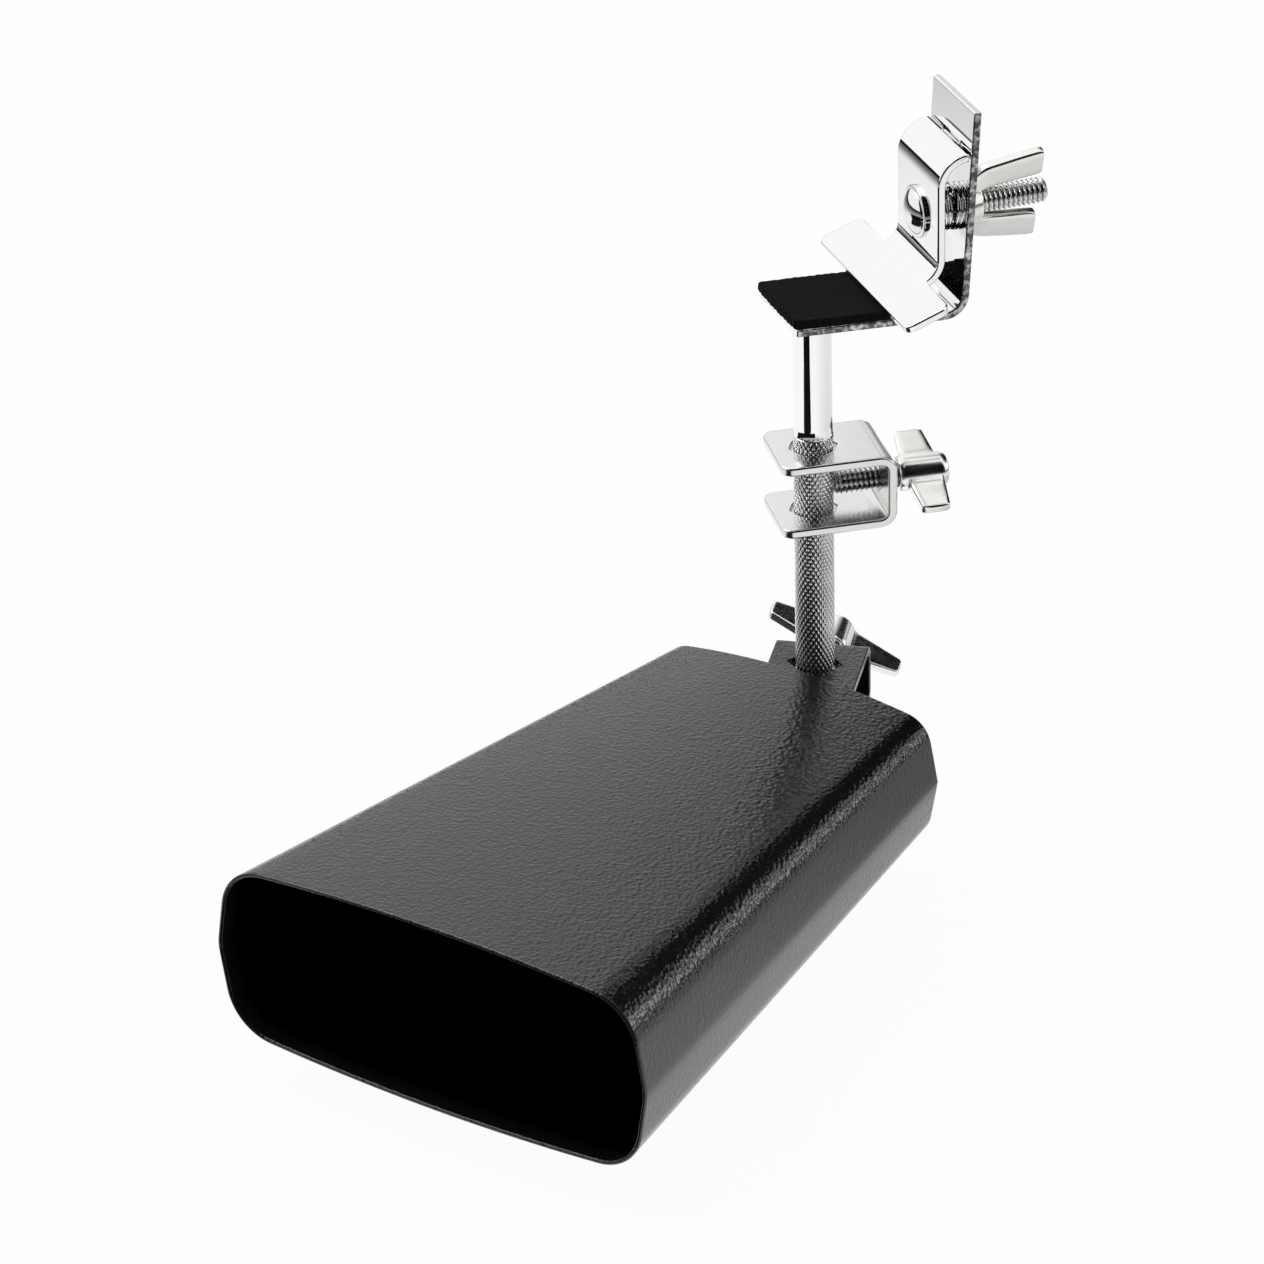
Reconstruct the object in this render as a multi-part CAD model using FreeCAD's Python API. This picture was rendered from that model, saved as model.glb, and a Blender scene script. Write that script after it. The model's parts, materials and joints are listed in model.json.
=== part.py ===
import FreeCAD, Part
import math
import os

V = FreeCAD.Vector

# Clamp-mounted cowbell. Millimetres. +Z is up, along the support rod.
# The origin is where the rod's axis meets the top of the felt that the hoop sits on.
# The bell's axis lies along Y with its mouth towards -Y.
# Heights below are from the top face of the clamp strip: SEAT, at the end, takes them to the origin.

# Gaps
GAP = 0.3  # between neighbours that don't touch
RUN = 0.05  # radial clearance of a screw or shaft in its hole
TOUCH = 0.05  # between faces that press on each other in use

# Support rod, 3/8 inch
ROD_D = 9.5
KNURL_D = 9.9
ROD_LEN = 127.0
KNURL_TOP = -34.0
ROD_WELD = 1.5

# Screws, 1/4 inch
SCREW_D = 6.35

# Hoop clamp: L-shaped strip. Its length runs along its own x, before it is turned about the rod.
CLAMP_TURN = 55.0
STRIP_TILT = 3.7
STRIP_W = 25.4
STRIP_T = 2.0
STRIP_END = -8.8
SPINE_OUT = 35.6
SPINE_TOP = 51.2
STRIP_BEND = 4.0
FELT_T = 2.2
FELT_W = STRIP_W - 0.2
FELT_OVER = 0.9
FELT_LEN = 39.0
FELT_CORNER = 2.0

# Upper jaw
JAW_W = 56.0
JAW_T = 2.0
JAW_TIP = 13.0
JAW_TILT = 19.0
JAW_PLATE = 12.2
JAW_CORNER = 2.5
JAW_RUN = 7.1
JAW_LOW_BEND = 6.0
JAW_TOP_BEND = 7.0
PIVOT_UP = 39.8
JAW_OPEN = 18.0
TONGUE_W = 9.0
TONGUE_OUT = 2.0
SHOULDER_GAP = 0.5

# Jaw bolt, spring, washer and wing nut
BOLT_Z = 20.0
BOLT_TIP = 60.5
BOLT_HEAD_D = 13.0
BOLT_HEAD_H = 3.2
SPRING_D = 10.4
SPRING_WIRE = 1.1
SPRING_TURNS = 3.0
WASHER_D = 12.0
WASHER_T = 1.0
NUT_BASE_D = 11.5
NUT_TOP_D = 9.0
NUT_H = 4.5
NUT_SPAN = 25.6
NUT_WING_T = 3.0
NUT_WING_LEN = 18.0
NUT_TURN = 15.0

# Screw brackets: a strap bent to a U, with a wing screw through its web
HOLE_R = KNURL_D / 2 + GAP
WING_HUB_D = 8.8
WING_HUB_L = 12.6
WING_ROOT = 9.6
WING_TIP = 7.0
WING_T = 2.5
WING_SET = 1.6
SCREW_REACH = 16.0

# Chrome bracket on the rod
ARM_TURN = 48.0
ARM_W = 22.0
ARM_T = 2.3
ARM_H = 19.2
ARM_TOP = -37.6
ARM_FREE = -10.4
ARM_WEB = 18.3
ARM_BEND = 2.0
ARM_CORNER = 3.0
ARM_SCREW_DROP = 1.1
ARM_WING_SPAN = 28.4
ARM_WING_TURN = -74.0
ARM_POINT = 0.75
ARM_POINT_TURN = 90.0

# Bell bracket, welded to the closed end
HORN_TURN = 113.0
HORN_W = 23.5
HORN_T = 2.0
HORN_H = 16.0
HORN_TOP = -97.8
HORN_WEB = 12.8
HORN_BEND = 1.6
HORN_WELD = 1.2
HORN_WING_SPAN = 36.2
HORN_WING_TURN = -66.0
HORN_POINT = 1.75
HORN_POINT_TURN = 0.0

# Bell: half width, half height, slant of the side, rise of the crown and shoulder radius
BELL_LEN = 155.4
BELL_END = -8.0
BELL_Z = -115.4
BELL_WALL = 1.2
MOUTH = (61.5, 25.1, 3.8, 2.8, 13.5)
TAIL = (41.2, 19.2, 3.2, 3.4, 8.0)
END_PLATE_T = 1.5
SEAM = 0.5
SEAM_PROUD = 0.3


def turned(shape, angle, axis=V(0, 0, 1), at=V(0, 0, 0)):
    out = shape.copy()
    out.rotate(at, axis, angle)
    return out


def moved(shape, x=0.0, y=0.0, z=0.0):
    out = shape.copy()
    out.translate(V(x, y, z))
    return out


def cut_all(shape, tools):
    for tool in tools:
        shape = shape.cut(tool)
    return shape


def box(x0, x1, y0, y1, z0, z1):
    return Part.makeBox(x1 - x0, y1 - y0, z1 - z0, V(x0, y0, z0))


def rod_x(radius, x0, x1, z=0.0):
    """A round bar along x."""
    return Part.makeCylinder(radius, x1 - x0, V(x0, 0, z), V(1, 0, 0))


def cone_x(r0, r1, x0, x1, z=0.0):
    return Part.makeCone(r0, r1, x1 - x0, V(x0, 0, z), V(1, 0, 0))


def along(shape, direction):
    """The edges of a shape that are straight and parallel to a direction."""
    found = []
    for edge in shape.Edges:
        if not isinstance(edge.Curve, (Part.Line, Part.LineSegment)):
            continue
        run = edge.Vertexes[1].Point - edge.Vertexes[0].Point
        if run.cross(direction).Length < 1e-6 * max(run.Length, 1.0):
            found.append(edge)
    return found


def side_of_strip(points, bends, offset):
    """Edges of one side of a bent strip: the centre line moved sideways, with an arc at each bend."""
    edges = []
    count = len(points)
    heads = []
    for i in range(count - 1):
        step = points[i + 1] - points[i]
        heads.append(step * (1.0 / step.Length))
    normals = [V(-h.z, 0, h.x) for h in heads]
    last = points[0] + normals[0] * offset
    for i in range(1, count - 1):
        before = heads[i - 1]
        after = heads[i]
        side = 1.0 if before.z * after.x - before.x * after.z < 0 else -1.0
        angle = math.acos(max(-1.0, min(1.0, before.dot(after))))
        reach = bends[i - 1] * math.tan(angle / 2)
        start = points[i] - before * reach
        end = points[i] + after * reach
        centre = start + normals[i - 1] * (side * bends[i - 1])
        out = points[i] - centre
        middle = centre + out * ((bends[i - 1] - side * offset) / out.Length)
        first = start + normals[i - 1] * offset
        second = end + normals[i] * offset
        edges.append(Part.LineSegment(last, first).toShape())
        edges.append(Part.Arc(first, middle, second).toShape())
        last = second
    edges.append(Part.LineSegment(last, points[-1] + normals[-1] * offset).toShape())
    return edges


def bent_strip(points, bends, thick, width):
    """A strip of sheet bent along a centre line in the xz plane, centred on y = 0."""
    line = [V(x, 0, z) for x, z in points]
    one = side_of_strip(line, bends, thick / 2)
    two = side_of_strip(line, bends, -thick / 2)
    ends = [
        Part.LineSegment(one[0].Vertexes[0].Point, two[0].Vertexes[0].Point).toShape(),
        Part.LineSegment(one[-1].Vertexes[-1].Point, two[-1].Vertexes[-1].Point).toShape(),
    ]
    wire = Part.Wire(Part.__sortEdges__(one + two + ends))
    face = Part.Face(wire)
    return moved(face.extrude(V(0, width, 0)), y=-width / 2)


def eye_hole(z0, z1, past):
    """A round hole drawn out on two opposite sides to points that stand past its edge."""
    point = HOLE_R + past
    reach = HOLE_R * HOLE_R / point
    half = HOLE_R * math.sqrt(1 - (HOLE_R / point) ** 2)
    corners = [
        (0, point),
        (-half, reach),
        (-half, -reach),
        (0, -point),
        (half, -reach),
        (half, reach),
        (0, point),
    ]
    wire = Part.makePolygon([V(x, y, z0) for x, y in corners])
    points = Part.Face(wire).extrude(V(0, 0, z1 - z0))
    return points.fuse(Part.makeCylinder(HOLE_R, z1 - z0, V(0, 0, z0))).removeSplitter()


def u_strap(free, web, height, width, thick, bend, middle, screw, point, point_turn):
    """A strap bent to a U: two arms from x = free to a web whose outer face is at x = web."""
    top = middle + height / 2 - thick / 2
    low = middle - height / 2 + thick / 2
    back = web - thick / 2
    line = [(free, top), (back, top), (back, low), (free, low)]
    radius = bend + thick / 2
    strap = bent_strip(line, [radius, radius], thick, width)
    holes = [
        turned(eye_hole(middle - height, middle + height, point), point_turn),
        rod_x(SCREW_D / 2 + RUN, web - thick - 1, web + 1, screw),
    ]
    return cut_all(strap, holes)


def screw_stud(middle):
    """The threaded part of a wing screw, from its tip near the rod to its end in the head."""
    tip = KNURL_D / 2 + TOUCH
    end = tip + SCREW_REACH + WING_HUB_L - 3.0
    body = rod_x(SCREW_D / 2, tip + 0.8, end, middle)
    return body.fuse(cone_x(SCREW_D / 2 - 0.8, SCREW_D / 2, tip, tip + 0.8, middle))


def wing_plate(profile, thick):
    """Two equal wings in the xz plane from the outline of one, (x, z) with z outwards."""
    wire = Part.makePolygon([V(x, 0, z) for x, z in profile + profile[:1]])
    wing = moved(Part.Face(wire).extrude(V(0, thick, 0)), y=-thick / 2)
    tops = [e for e in along(wing, V(0, 1, 0)) if e.Vertexes[0].Point.z > WING_HUB_D / 2]
    wing = wing.makeFillet(thick * 0.45, tops)
    return wing, turned(wing, 180, V(1, 0, 0))


def screw_head(middle, turn, span):
    """The cast head of a wing screw: a hub with two flat wings."""
    start = KNURL_D / 2 + TOUCH + SCREW_REACH
    end = start + WING_HUB_L
    mid = start + WING_SET + WING_ROOT / 2
    hub = rod_x(WING_HUB_D / 2, start + 0.8, end - 0.9)
    hub = hub.fuse(cone_x(WING_HUB_D / 2 - 0.6, WING_HUB_D / 2, start, start + 0.8))
    hub = hub.fuse(cone_x(WING_HUB_D / 2, WING_HUB_D / 2 - 0.9, end - 0.9, end))
    profile = [
        (mid - WING_ROOT / 2, WING_HUB_D / 2 - 1.2),
        (mid + WING_ROOT / 2, WING_HUB_D / 2 - 1.2),
        (mid + WING_TIP / 2, span / 2),
        (mid - WING_TIP / 2, span / 2),
    ]
    for wing in wing_plate(profile, WING_T):
        hub = hub.fuse(wing)
    bore = rod_x(SCREW_D / 2 + RUN, start - 1, end - 3.0 + 0.2)
    head = turned(hub.cut(bore).removeSplitter(), turn, V(1, 0, 0))
    return moved(head, z=middle)


def on_strip(x, z):
    """A point of the clamp strip's own plane, once the strip is tilted, as (x, z)."""
    tilt = math.radians(STRIP_TILT)
    return (x * math.cos(tilt) + z * math.sin(tilt), z * math.cos(tilt) - x * math.sin(tilt))


def tilted(shape):
    return turned(shape, STRIP_TILT, V(0, 1, 0))


def pivot():
    """The middle of the jaw's tongue where it goes through the spine, as (x, z)."""
    return on_strip(SPINE_OUT - STRIP_T / 2, PIVOT_UP)


def riser_front():
    """The front face of the jaw's riser, JAW_RUN before the jaw's shoulder at the spine."""
    shoulder = pivot()[0] - STRIP_T / 2 - SHOULDER_GAP
    return shoulder - JAW_RUN - JAW_T / 2


def clamp_strip():
    level = -STRIP_T / 2
    back = SPINE_OUT - STRIP_T / 2
    line = [(STRIP_END, level), (back, level), (back, SPINE_TOP)]
    strip = bent_strip(line, [STRIP_BEND + STRIP_T / 2], STRIP_T, STRIP_W)
    arm = pivot()[1] - BOLT_Z
    shut = math.radians(STRIP_TILT)
    wide = math.radians(JAW_OPEN - STRIP_TILT)
    radius = SCREW_D / 2
    low = PIVOT_UP - (arm + radius) / math.cos(wide) - STRIP_T / 2 * math.tan(wide) - GAP
    high = PIVOT_UP - (arm - radius) / math.cos(shut) + STRIP_T / 2 * math.tan(shut) + GAP
    half = radius + GAP
    slot = rod_x(half, back - STRIP_T, back + STRIP_T, high - half)
    slot = slot.fuse(rod_x(half, back - STRIP_T, back + STRIP_T, low + half))
    slot = slot.fuse(box(back - STRIP_T, back + STRIP_T, -half, half, low + half, high - half))
    rise = (JAW_T * math.cos(wide) + STRIP_T * math.sin(wide)) / 2 + GAP
    side = TONGUE_W / 2 + GAP
    window = box(back - STRIP_T, back + STRIP_T, -side, side, PIVOT_UP - rise, PIVOT_UP + rise)
    return tilted(cut_all(strip, [slot, window]))


def felt_pad():
    start = STRIP_END - FELT_OVER
    pad = box(start, start + FELT_LEN, -FELT_W / 2, FELT_W / 2, 0, FELT_T)
    return tilted(pad.makeFillet(FELT_CORNER, along(pad, V(0, 0, 1))))


def rod():
    """Plain at the top, where it stops just under the sloping strip, and knurled below."""
    tilt = math.radians(STRIP_TILT)
    top = -STRIP_T / math.cos(tilt) - ROD_D / 2 * math.tan(tilt) - TOUCH
    low = 1.0 - STRIP_T - ROD_LEN
    bar = Part.makeCylinder(ROD_D / 2, top - KNURL_TOP, V(0, 0, KNURL_TOP))
    bar = bar.fuse(Part.makeCylinder(KNURL_D / 2, KNURL_TOP - low, V(0, 0, low)))
    return bar.fuse(Part.makeCone(KNURL_D / 2 - 1.0, KNURL_D / 2, 1.0, V(0, 0, low - 1.0)))


def rod_weld():
    low = -STRIP_T - ROD_WELD
    ring = Part.makeCone(ROD_D / 2 + 0.4, ROD_D / 2 + ROD_WELD, ROD_WELD, V(0, 0, low))
    return tilted(ring).cut(Part.makeCylinder(ROD_D / 2 + RUN, ROD_WELD + 4, V(0, 0, low - 2)))


def upper_jaw():
    tilt = math.radians(JAW_TILT)
    seat = on_strip(JAW_TIP, FELT_T)[1]
    front = seat + GAP + math.cos(tilt) * JAW_T / 2
    back = riser_front() + JAW_T / 2
    corner = front + (back - JAW_TIP) * math.tan(tilt)
    pivot_x, pivot_z = pivot()
    shoulder = pivot_x - STRIP_T / 2 - SHOULDER_GAP
    line = [(JAW_TIP, front), (back, corner), (back, pivot_z), (shoulder, pivot_z)]
    jaw = bent_strip(line, [JAW_LOW_BEND, JAW_TOP_BEND], JAW_T, STRIP_W)
    end = (JAW_TIP + JAW_PLATE * math.cos(tilt), front + JAW_PLATE * math.sin(tilt))
    plate = bent_strip([line[0], end], [], JAW_T, JAW_W)
    across = V(-math.sin(tilt), 0, math.cos(tilt))
    plate = plate.makeFillet(JAW_CORNER, along(plate, across))
    tongue = box(
        shoulder - 0.5,
        pivot_x + STRIP_T / 2 + TONGUE_OUT,
        -TONGUE_W / 2,
        TONGUE_W / 2,
        pivot_z - JAW_T / 2,
        pivot_z + JAW_T / 2,
    )
    jaw = jaw.fuse(plate).fuse(tongue).removeSplitter()
    half = SCREW_D / 2 + 0.1
    face = riser_front()
    hole = box(face - 1, face + JAW_T + 1, -half, half, BOLT_Z - half, BOLT_Z + half)
    return jaw.cut(hole)


def seat_x(up, side):
    """Where the spine's face at side from its middle stands, level with the bolt's axis plus up."""
    pivot_x, pivot_z = pivot()
    tilt = math.radians(STRIP_TILT)
    return pivot_x + side / math.cos(tilt) + (BOLT_Z + up - pivot_z) * math.tan(tilt)


def jaw_bolt():
    bulge = (BOLT_HEAD_D ** 2 / 4 + BOLT_HEAD_H ** 2) / (2 * BOLT_HEAD_H)
    face = riser_front()
    ball = Part.makeSphere(bulge, V(face - BOLT_HEAD_H + bulge, 0, BOLT_Z))
    head = ball.common(rod_x(bulge, face - BOLT_HEAD_H - 1, face, BOLT_Z))
    half = SCREW_D / 2
    neck = box(face, face + JAW_T, -half, half, BOLT_Z - half, BOLT_Z + half)
    shank = rod_x(half, face + JAW_T, BOLT_TIP - 0.8, BOLT_Z)
    tip = cone_x(half, half - 0.8, BOLT_TIP - 0.8, BOLT_TIP, BOLT_Z)
    return head.fuse(neck).fuse(shank).fuse(tip)


def jaw_spring():
    start = riser_front() + JAW_T + TOUCH + SPRING_WIRE / 2
    end = seat_x(-SPRING_D / 2, -STRIP_T / 2) - TOUCH - SPRING_WIRE / 2
    steps = int(SPRING_TURNS * 12)
    out = V(SPRING_D / 2, 0, 0)
    lean = math.degrees(math.atan2((end - start) / SPRING_TURNS, math.pi * SPRING_D))
    ring = turned(Part.makeCircle(SPRING_WIRE / 2, out, V(0, 1, 0)), lean, V(1, 0, 0), out)
    rings = []
    for i in range(steps + 1):
        share = i / steps
        place = moved(turned(ring, 360 * SPRING_TURNS * share), z=(end - start) * share)
        rings.append(Part.Wire([place]))
    coil = Part.makeLoft(rings, True, False)
    return moved(turned(coil, 90, V(0, 1, 0)), x=start, z=BOLT_Z)


def jaw_washer():
    start = seat_x(WASHER_D / 2, STRIP_T / 2) + 2 * TOUCH
    disc = rod_x(WASHER_D / 2, start, start + WASHER_T, BOLT_Z)
    return disc.cut(rod_x(SCREW_D / 2 + 2 * RUN, start - 1, start + WASHER_T + 1, BOLT_Z))


def wing_nut():
    start = seat_x(WASHER_D / 2, STRIP_T / 2) + WASHER_T + 4 * TOUCH
    hub = cone_x(NUT_BASE_D / 2, NUT_TOP_D / 2, start, start + NUT_H)
    tip = start + 2.4 + NUT_WING_LEN
    out = NUT_SPAN / 2
    outline = [
        (start + 2.4, 3.6),
        (start + 2.5, out * 0.66),
        (start + 4.2, out * 0.8),
        (tip - 6.0, out * 0.94),
        (tip - 1.3, out),
        (tip, out * 0.92),
        (tip - 0.2, out * 0.55),
        (tip - 1.6, out * 0.46),
        (start + 12.0, out * 0.41),
        (start + NUT_H - 0.2, 3.6),
    ]
    curve = Part.BSplineCurve()
    curve.interpolate([V(x, 0, z) for x, z in outline[1:-1]])
    base = Part.makePolygon([V(x, 0, z) for x, z in (outline[-2], outline[-1], outline[0], outline[1])])
    face = Part.Face(Part.Wire(Part.__sortEdges__([curve.toShape()] + base.Edges)))
    wing = moved(face.extrude(V(0, NUT_WING_T, 0)), y=-NUT_WING_T / 2)
    nut = hub.fuse(wing).fuse(turned(wing, 180, V(1, 0, 0)))
    nut = nut.cut(rod_x(SCREW_D / 2 + RUN, start - 1, tip + 1))
    return moved(turned(nut.removeSplitter(), NUT_TURN, V(1, 0, 0)), z=BOLT_Z)


def arm_bracket():
    middle = ARM_TOP - ARM_H / 2
    screw = middle - ARM_SCREW_DROP
    sizes = (ARM_H, ARM_W, ARM_T, ARM_BEND, middle, screw, ARM_POINT, ARM_POINT_TURN)
    strap = u_strap(ARM_FREE, ARM_WEB, *sizes)
    corners = [e for e in along(strap, V(0, 0, 1)) if abs(e.Vertexes[0].Point.x - ARM_FREE) < 0.01]
    return strap.makeFillet(ARM_CORNER, corners)


def horn_bracket():
    middle = HORN_TOP - HORN_H / 2
    free = BELL_END / math.cos(math.radians(HORN_TURN - 90)) - HORN_W
    sizes = (HORN_H, HORN_W, HORN_T, HORN_BEND, middle, middle, HORN_POINT, HORN_POINT_TURN)
    strap = u_strap(free, HORN_WEB, *sizes)
    strap = turned(strap, HORN_TURN)
    behind = box(-100, 100, BELL_END - 100, BELL_END, middle - HORN_H, middle + HORN_H)
    return strap.cut(behind)


def horn_weld(up):
    """A fillet weld where one arm of the bell bracket meets the closed end."""
    skew = math.radians(HORN_TURN - 90)
    ends = []
    for side in (-1, 1):
        across = side * HORN_W / 2
        depth = (BELL_END - across * math.sin(skew)) / math.cos(skew)
        ends.append(across * math.cos(skew) - depth * math.sin(skew))
    level = HORN_TOP if up > 0 else HORN_TOP - HORN_H
    corners = [
        (BELL_END, level),
        (BELL_END + HORN_WELD, level),
        (BELL_END + HORN_WELD * 0.6, level + up * HORN_WELD * 0.6),
        (BELL_END, level + up * HORN_WELD),
        (BELL_END, level),
    ]
    wire = Part.makePolygon([V(ends[0], y, z) for y, z in corners])
    return Part.Face(wire).extrude(V(ends[1] - ends[0], 0, 0))


def quarter(size, offset, level):
    """Key points of one quarter of the bell's section, moved inwards by offset, as (x, z).

    The side is a straight line, the crown an arc, and the shoulder an arc that touches both.
    Returns the side's low point at height level, its top, the shoulder's middle,
    the crown's start and the crown's top."""
    wide, high, slant, rise, shoulder = size
    flank = math.hypot(slant, high - rise)
    up = (-slant / flank, (high - rise) / flank)
    inward = (-(high - rise) / flank, -slant / flank)
    chord = wide - slant
    crown = (chord * chord + rise * rise) / (2 * rise)
    centre = high - crown
    qx = wide + shoulder * inward[0]
    qz = shoulder * inward[1] - centre
    dot = qx * up[0] + qz * up[1]
    away = (crown - shoulder) ** 2 - (qx * qx + qz * qz)
    reach = -dot + math.sqrt(dot * dot + away)
    fx = qx + reach * up[0]
    fz = qz + reach * up[1] + centre
    top = (wide + reach * up[0] + offset * inward[0], reach * up[1] + offset * inward[1])
    lean = math.hypot(fx, fz - centre)
    head = (fx / lean, (fz - centre) / lean)
    crown_start = (head[0] * (crown - offset), centre + head[1] * (crown - offset))
    mx = head[0] - inward[0]
    mz = head[1] - inward[1]
    size_m = math.hypot(mx, mz)
    span = shoulder - offset
    middle = (fx + mx / size_m * span, fz + mz / size_m * span)
    drop = (level - offset * inward[1]) / up[1]
    low = (wide + offset * inward[0] + drop * up[0], level)
    return low, top, middle, crown_start, (0.0, centre + crown - offset)


def section_path(size, offset, level, y, up):
    """Edges over one half of the section, from +x to -x, at the station y."""
    low, top, middle, crown, apex = quarter(size, offset, level)

    def at(point, side):
        return V(side * point[0], y, BELL_Z + up * point[1])

    return [
        Part.LineSegment(at(low, 1), at(top, 1)).toShape(),
        Part.Arc(at(top, 1), at(middle, 1), at(crown, 1)).toShape(),
        Part.Arc(at(crown, 1), at(apex, 1), at(crown, -1)).toShape(),
        Part.Arc(at(crown, -1), at(middle, -1), at(top, -1)).toShape(),
        Part.LineSegment(at(top, -1), at(low, -1)).toShape(),
    ]


def joined(outer, inner):
    """A closed wire of an outer path and an inner path, both from +x to -x."""
    first = Part.LineSegment(outer[-1].Vertexes[-1].Point, inner[-1].Vertexes[-1].Point).toShape()
    second = Part.LineSegment(inner[0].Vertexes[0].Point, outer[0].Vertexes[0].Point).toShape()
    back = [edge.reversed() for edge in reversed(inner)]
    return Part.Wire(outer + [first] + back + [second])


def between(y):
    """The section's sizes at the station y."""
    share = (y - BELL_END) / -BELL_LEN
    return tuple(t + (m - t) * share for m, t in zip(MOUTH, TAIL))


def half_shell(up):
    wires = []
    for y in (BELL_END - BELL_LEN, BELL_END):
        size = between(y)
        outer = section_path(size, 0.0, SEAM / 2, y, up)
        inner = section_path(size, BELL_WALL, SEAM / 2, y, up)
        wires.append(joined(outer, inner))
    return Part.makeLoft(wires, True, True)


def end_plate():
    wires = []
    for y in (BELL_END - END_PLATE_T, BELL_END):
        size = between(y)
        upper = section_path(size, BELL_WALL, 0.0, y, 1)
        lower = section_path(size, BELL_WALL, 0.0, y, -1)
        wires.append(Part.Wire(upper + [edge.reversed() for edge in reversed(lower)]))
    return Part.makeLoft(wires, True, True)


def seam_weld(side):
    wires = []
    for y in (BELL_END - BELL_LEN, BELL_END):
        size = between(y)
        out = quarter(size, 0.0, SEAM / 2)[0][0]
        inside = quarter(size, BELL_WALL, SEAM / 2)[0][0]
        corners = [
            (out, SEAM / 2),
            (out + SEAM_PROUD, 0.0),
            (out, -SEAM / 2),
            (inside, -SEAM / 2),
            (inside, SEAM / 2),
            (out, SEAM / 2),
        ]
        wires.append(Part.makePolygon([V(side * x, y, BELL_Z + z) for x, z in corners]))
    return Part.makeLoft(wires, True, True)


arm_middle = ARM_TOP - ARM_H / 2 - ARM_SCREW_DROP
horn_middle = HORN_TOP - HORN_H / 2

parts = {
    "clamp_strip": turned(clamp_strip(), CLAMP_TURN),
    "felt_pad": turned(felt_pad(), CLAMP_TURN),
    "rod": rod(),
    "rod_weld": turned(rod_weld(), CLAMP_TURN),
    "upper_jaw": turned(upper_jaw(), CLAMP_TURN),
    "jaw_bolt": turned(jaw_bolt(), CLAMP_TURN),
    "jaw_spring": turned(jaw_spring(), CLAMP_TURN),
    "jaw_washer": turned(jaw_washer(), CLAMP_TURN),
    "wing_nut": turned(wing_nut(), CLAMP_TURN),
    "arm_bracket": turned(arm_bracket(), ARM_TURN),
    "arm_screw_stud": turned(screw_stud(arm_middle), ARM_TURN),
    "arm_screw_head": turned(screw_head(arm_middle, ARM_WING_TURN, ARM_WING_SPAN), ARM_TURN),
    "bell_bracket": horn_bracket(),
    "bell_screw_stud": turned(screw_stud(horn_middle), HORN_TURN),
    "bell_screw_head": turned(screw_head(horn_middle, HORN_WING_TURN, HORN_WING_SPAN), HORN_TURN),
    "bell_shell_upper": half_shell(1),
    "bell_shell_lower": half_shell(-1),
    "bell_end_plate": end_plate(),
    "seam_weld_right": seam_weld(1),
    "seam_weld_left": seam_weld(-1),
    "bracket_weld_upper": horn_weld(1),
    "bracket_weld_lower": horn_weld(-1),
}

SEAT = FELT_T / math.cos(math.radians(STRIP_TILT))

os.makedirs("parts", exist_ok=True)
for name, shape in parts.items():
    solids = moved(shape, z=-SEAT).Solids
    if len(solids) != 1 or not shape.isValid():
        raise ValueError("%s is not one valid solid" % name)
    solids[0].exportStep("parts/%s.step" % name)
    print(name, round(solids[0].Volume, 2))
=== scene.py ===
"""Clamp-mounted cowbell: the looks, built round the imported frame.

New pieces are surfaces worked out as whole arrays, in millimetres, then scaled to metres. The
bent strips are copies of the frame's own nodes with their edges rounded over.
"""

import json
import math

import bmesh
import bpy
import numpy as np
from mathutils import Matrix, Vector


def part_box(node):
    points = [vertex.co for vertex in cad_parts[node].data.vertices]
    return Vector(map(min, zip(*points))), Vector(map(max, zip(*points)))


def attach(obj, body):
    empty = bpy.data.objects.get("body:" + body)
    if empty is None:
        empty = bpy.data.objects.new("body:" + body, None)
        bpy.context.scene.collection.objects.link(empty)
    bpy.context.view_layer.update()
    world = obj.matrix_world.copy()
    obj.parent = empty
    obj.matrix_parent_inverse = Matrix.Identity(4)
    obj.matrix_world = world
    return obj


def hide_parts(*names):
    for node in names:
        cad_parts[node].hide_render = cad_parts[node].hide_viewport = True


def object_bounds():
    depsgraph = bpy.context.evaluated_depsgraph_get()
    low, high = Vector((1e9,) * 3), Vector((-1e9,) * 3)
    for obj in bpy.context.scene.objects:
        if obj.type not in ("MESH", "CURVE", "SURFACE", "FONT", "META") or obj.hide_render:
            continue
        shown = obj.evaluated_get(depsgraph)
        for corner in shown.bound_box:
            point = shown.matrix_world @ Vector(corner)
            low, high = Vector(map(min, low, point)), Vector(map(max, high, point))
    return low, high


bl_info = {
    "name": "Clamp-mounted cowbell",
    "version": (1, 0, 0),
    "blender": (4, 5, 0),
    "location": "View3D > Sidebar > Cowbell",
    "description": "Builds a cowbell on a knurled rod with its hoop clamp and wing screws",
    "category": "Add Mesh",
}

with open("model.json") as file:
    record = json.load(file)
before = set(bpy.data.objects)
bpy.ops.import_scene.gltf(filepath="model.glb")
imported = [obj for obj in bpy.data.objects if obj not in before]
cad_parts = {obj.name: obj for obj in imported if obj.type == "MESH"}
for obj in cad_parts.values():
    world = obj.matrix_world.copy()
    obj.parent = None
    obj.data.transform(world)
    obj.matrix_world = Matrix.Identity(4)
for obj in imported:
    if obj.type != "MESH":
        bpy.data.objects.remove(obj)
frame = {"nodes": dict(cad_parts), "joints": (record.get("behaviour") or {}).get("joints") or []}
CAD_BOX = [list(corner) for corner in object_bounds()]
JOINTS = {joint["name"]: joint for joint in frame["joints"]}
MM = 0.001

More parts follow.
